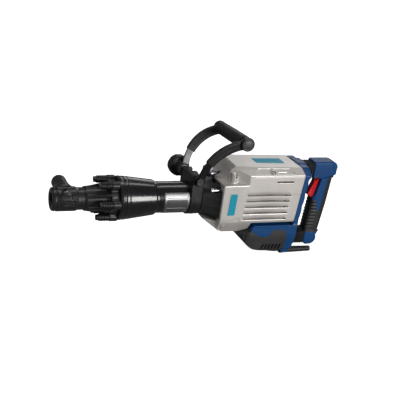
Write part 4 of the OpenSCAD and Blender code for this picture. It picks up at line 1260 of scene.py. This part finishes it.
def bellows_field(start, end, height, folds):
    """Field of a bellows open at both ends"""
    pitch = (end - start) / folds

    def field(p):
        x, y, z = p
        wave = 1.5 * np.cos((x - start) * 2 * math.pi / pitch)
        ring = rounded_pair(np.abs(y) - 21.3, np.abs(z - height) - 17.3, 7)
        outer = rounded_pair((ring - wave) * 0.8, slab(x, start, end), 0.5)
        inner = (ring - wave + 2.6) * 0.8
        return meet(0.4, outer, -inner)
    return field


LINKS = (("top", LINK_HEIGHTS[0], 650.0, 676.0, 4), ("low", LINK_HEIGHTS[1], 640.0, 678.5, 6))


def build_links():
    """Bellows and springs between the motor housing and the rear handle"""
    for name, height, start, end, folds in LINKS:
        sleeve = cast(f"bellows_{name}", bellows_field(start, end - 0.3, height, folds),
                      (start, -23, height - 19), (end, 23, height + 19), FINE * 1.2)
        place(sleeve, "frame", ["handle_bellows"], "soft_rubber")
        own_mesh(sleeve)
        spring = coil(f"damper_spring_{name}", "x", start, end - 0.2, 9.4, 2.6, folds + 1, (0, height))
        place(spring, "frame", ["handle_springs"], "spring_steel")
        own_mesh(spring)


def build_retainer_spring():
    low, high = cad("retainer_spring")
    spring = coil("retainer_coil", "y", low[1], high[1], 9.6, 2.0, 4, PIN)
    place(spring, "frame", ["retainer_spring"], "spring_steel")
    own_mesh(spring)


def build_rear():
    cast_node("motor_shell", "motor_housing", housing_field, COARSE, "housing_blue")
    cast_node("belly_guard", "belly_boot", boot_field, MEDIUM, "boot_rubber",
              below=(4, 0, 0), above=(0, 0, 12))
    cast_node("cord_sleeve", "cord_guard", guard_field, FINE, "soft_rubber")
    cast_node("grip_frame", "rear_handle", handle_field, MEDIUM, "housing_blue", "handle_body")
    cast_node("grip_rubber", "handle_overmould", overmould_field, MEDIUM * 0.8, "soft_rubber",
              "handle_body", below=4, above=4)
    cast_node("trigger_lever", "trigger", trigger_field, FINE, "trigger_red", "trigger_body")


# ------------------------------------------------------------------ studio and camera

# metres, watts and angles in degrees
FLOOR_HALF = 60.0
FLOOR_DROP = 0.0005
FLOOR_GLOW = 0.95
WORLD_LIGHT = 0.13
WHITE = (1.0, 1.0, 1.0)
# name, place, aim, size, power and colour
LAMPS = (
    ("key", (1.3, -2.0, 0.45), (0.38, 0.0, 0.0), (0.8, 0.9), 32, (1.0, 0.985, 0.965)),
    ("top", (0.35, 0.25, 1.7), (0.4, 0.0, 0.0), (1.8, 0.35), 6.5, WHITE),
    ("side", (-1.6, -1.5, 0.5), (0.3, 0.0, 0.0), (0.4, 1.3), 3.5, (0.97, 0.985, 1.0)),
    ("back", (1.5, 1.8, 1.1), (0.4, 0.0, 0.0), (1.4, 0.8), 6, WHITE),
)
CAMERA_TURN, CAMERA_RISE, CAMERA_ROLL = -23.68, 21.03, 7.71
CAMERA_DISTANCE = 2.2
CAMERA_AIM = (0.380, 0.0, 0.0)
CAMERA_LEFT, CAMERA_DOWN = 0.0031, 0.0098
LENS, SENSOR = 79.4, 36.0


def build_world():
    scene = bpy.context.scene
    scene.world = bpy.data.worlds.new("studio")
    scene.world.use_nodes = True
    background = scene.world.node_tree.nodes["Background"].inputs
    background["Color"].default_value = (*WHITE, 1)
    background["Strength"].default_value = WORLD_LIGHT
    scene.view_settings.view_transform = "Standard"


def build_floor():
    """Pale floor under the tool, wide enough to reach the horizon"""
    level = BASE_Z * MM - FLOOR_DROP
    corners = [(x * FLOOR_HALF, y * FLOOR_HALF, level) for x, y in ((-1, -1), (1, -1), (1, 1), (-1, 1))]
    mesh = bpy.data.meshes.new("floor")
    mesh.from_pydata(corners, [], [(0, 1, 2, 3)])
    surface("floor_pale", (0.86, 0.86, 0.86), 0.75, 0, 0.01, (60, 0.02, 0.0002), 0.02, specular=0.15)
    mesh.materials.append(LOOKS["floor_pale"])
    glow = LOOKS["floor_pale"].node_tree.nodes["Principled BSDF"].inputs
    glow["Emission Color"].default_value = (*WHITE, 1)
    glow["Emission Strength"].default_value = FLOOR_GLOW
    floor = linked("floor", mesh)
    # the floor lights nothing, so that the black parts stay black
    floor.visible_glossy = False
    floor.visible_diffuse = False


def build_lamps():
    for name, spot, aim, size, power, colour in LAMPS:
        lamp = bpy.data.lights.new(name, "AREA")
        lamp.shape = "RECTANGLE"
        lamp.size, lamp.size_y = size
        lamp.energy = power
        lamp.color = colour
        holder = linked(name, lamp)
        holder.location = spot
        holder.rotation_euler = (Vector(aim) - Vector(spot)).to_track_quat("-Z", "Y").to_euler()


def build_camera():
    """Camera fitted to the photo, rolled a little and aimed just off the tool's middle"""
    turn, rise, roll = map(math.radians, (CAMERA_TURN, CAMERA_RISE, CAMERA_ROLL))
    back = Vector((math.sin(turn) * math.cos(rise), -math.cos(turn) * math.cos(rise), math.sin(rise)))
    right = Vector((math.cos(turn), math.sin(turn), 0))
    up = back.cross(right)
    across = math.cos(roll) * right + math.sin(roll) * up
    upward = -math.sin(roll) * right + math.cos(roll) * up
    lens = bpy.data.cameras.new("camera")
    lens.lens, lens.sensor_width = LENS, SENSOR
    lens.clip_end = 100
    spot = Vector(CAMERA_AIM) + CAMERA_DISTANCE * back - CAMERA_DOWN * upward - CAMERA_LEFT * across
    camera = linked("camera", lens)
    camera.matrix_world = Matrix.Translation(spot) @ Matrix((across, upward, back)).transposed().to_4x4()
    bpy.context.scene.camera = camera


build_camera()
build_world()
build_floor()
build_lamps()
build_nose()
build_bolts()
build_barrel()
build_nameplate()
build_side_handle()
build_body()
build_screws()
build_labels()
build_rear()
build_links()
build_retainer_spring()
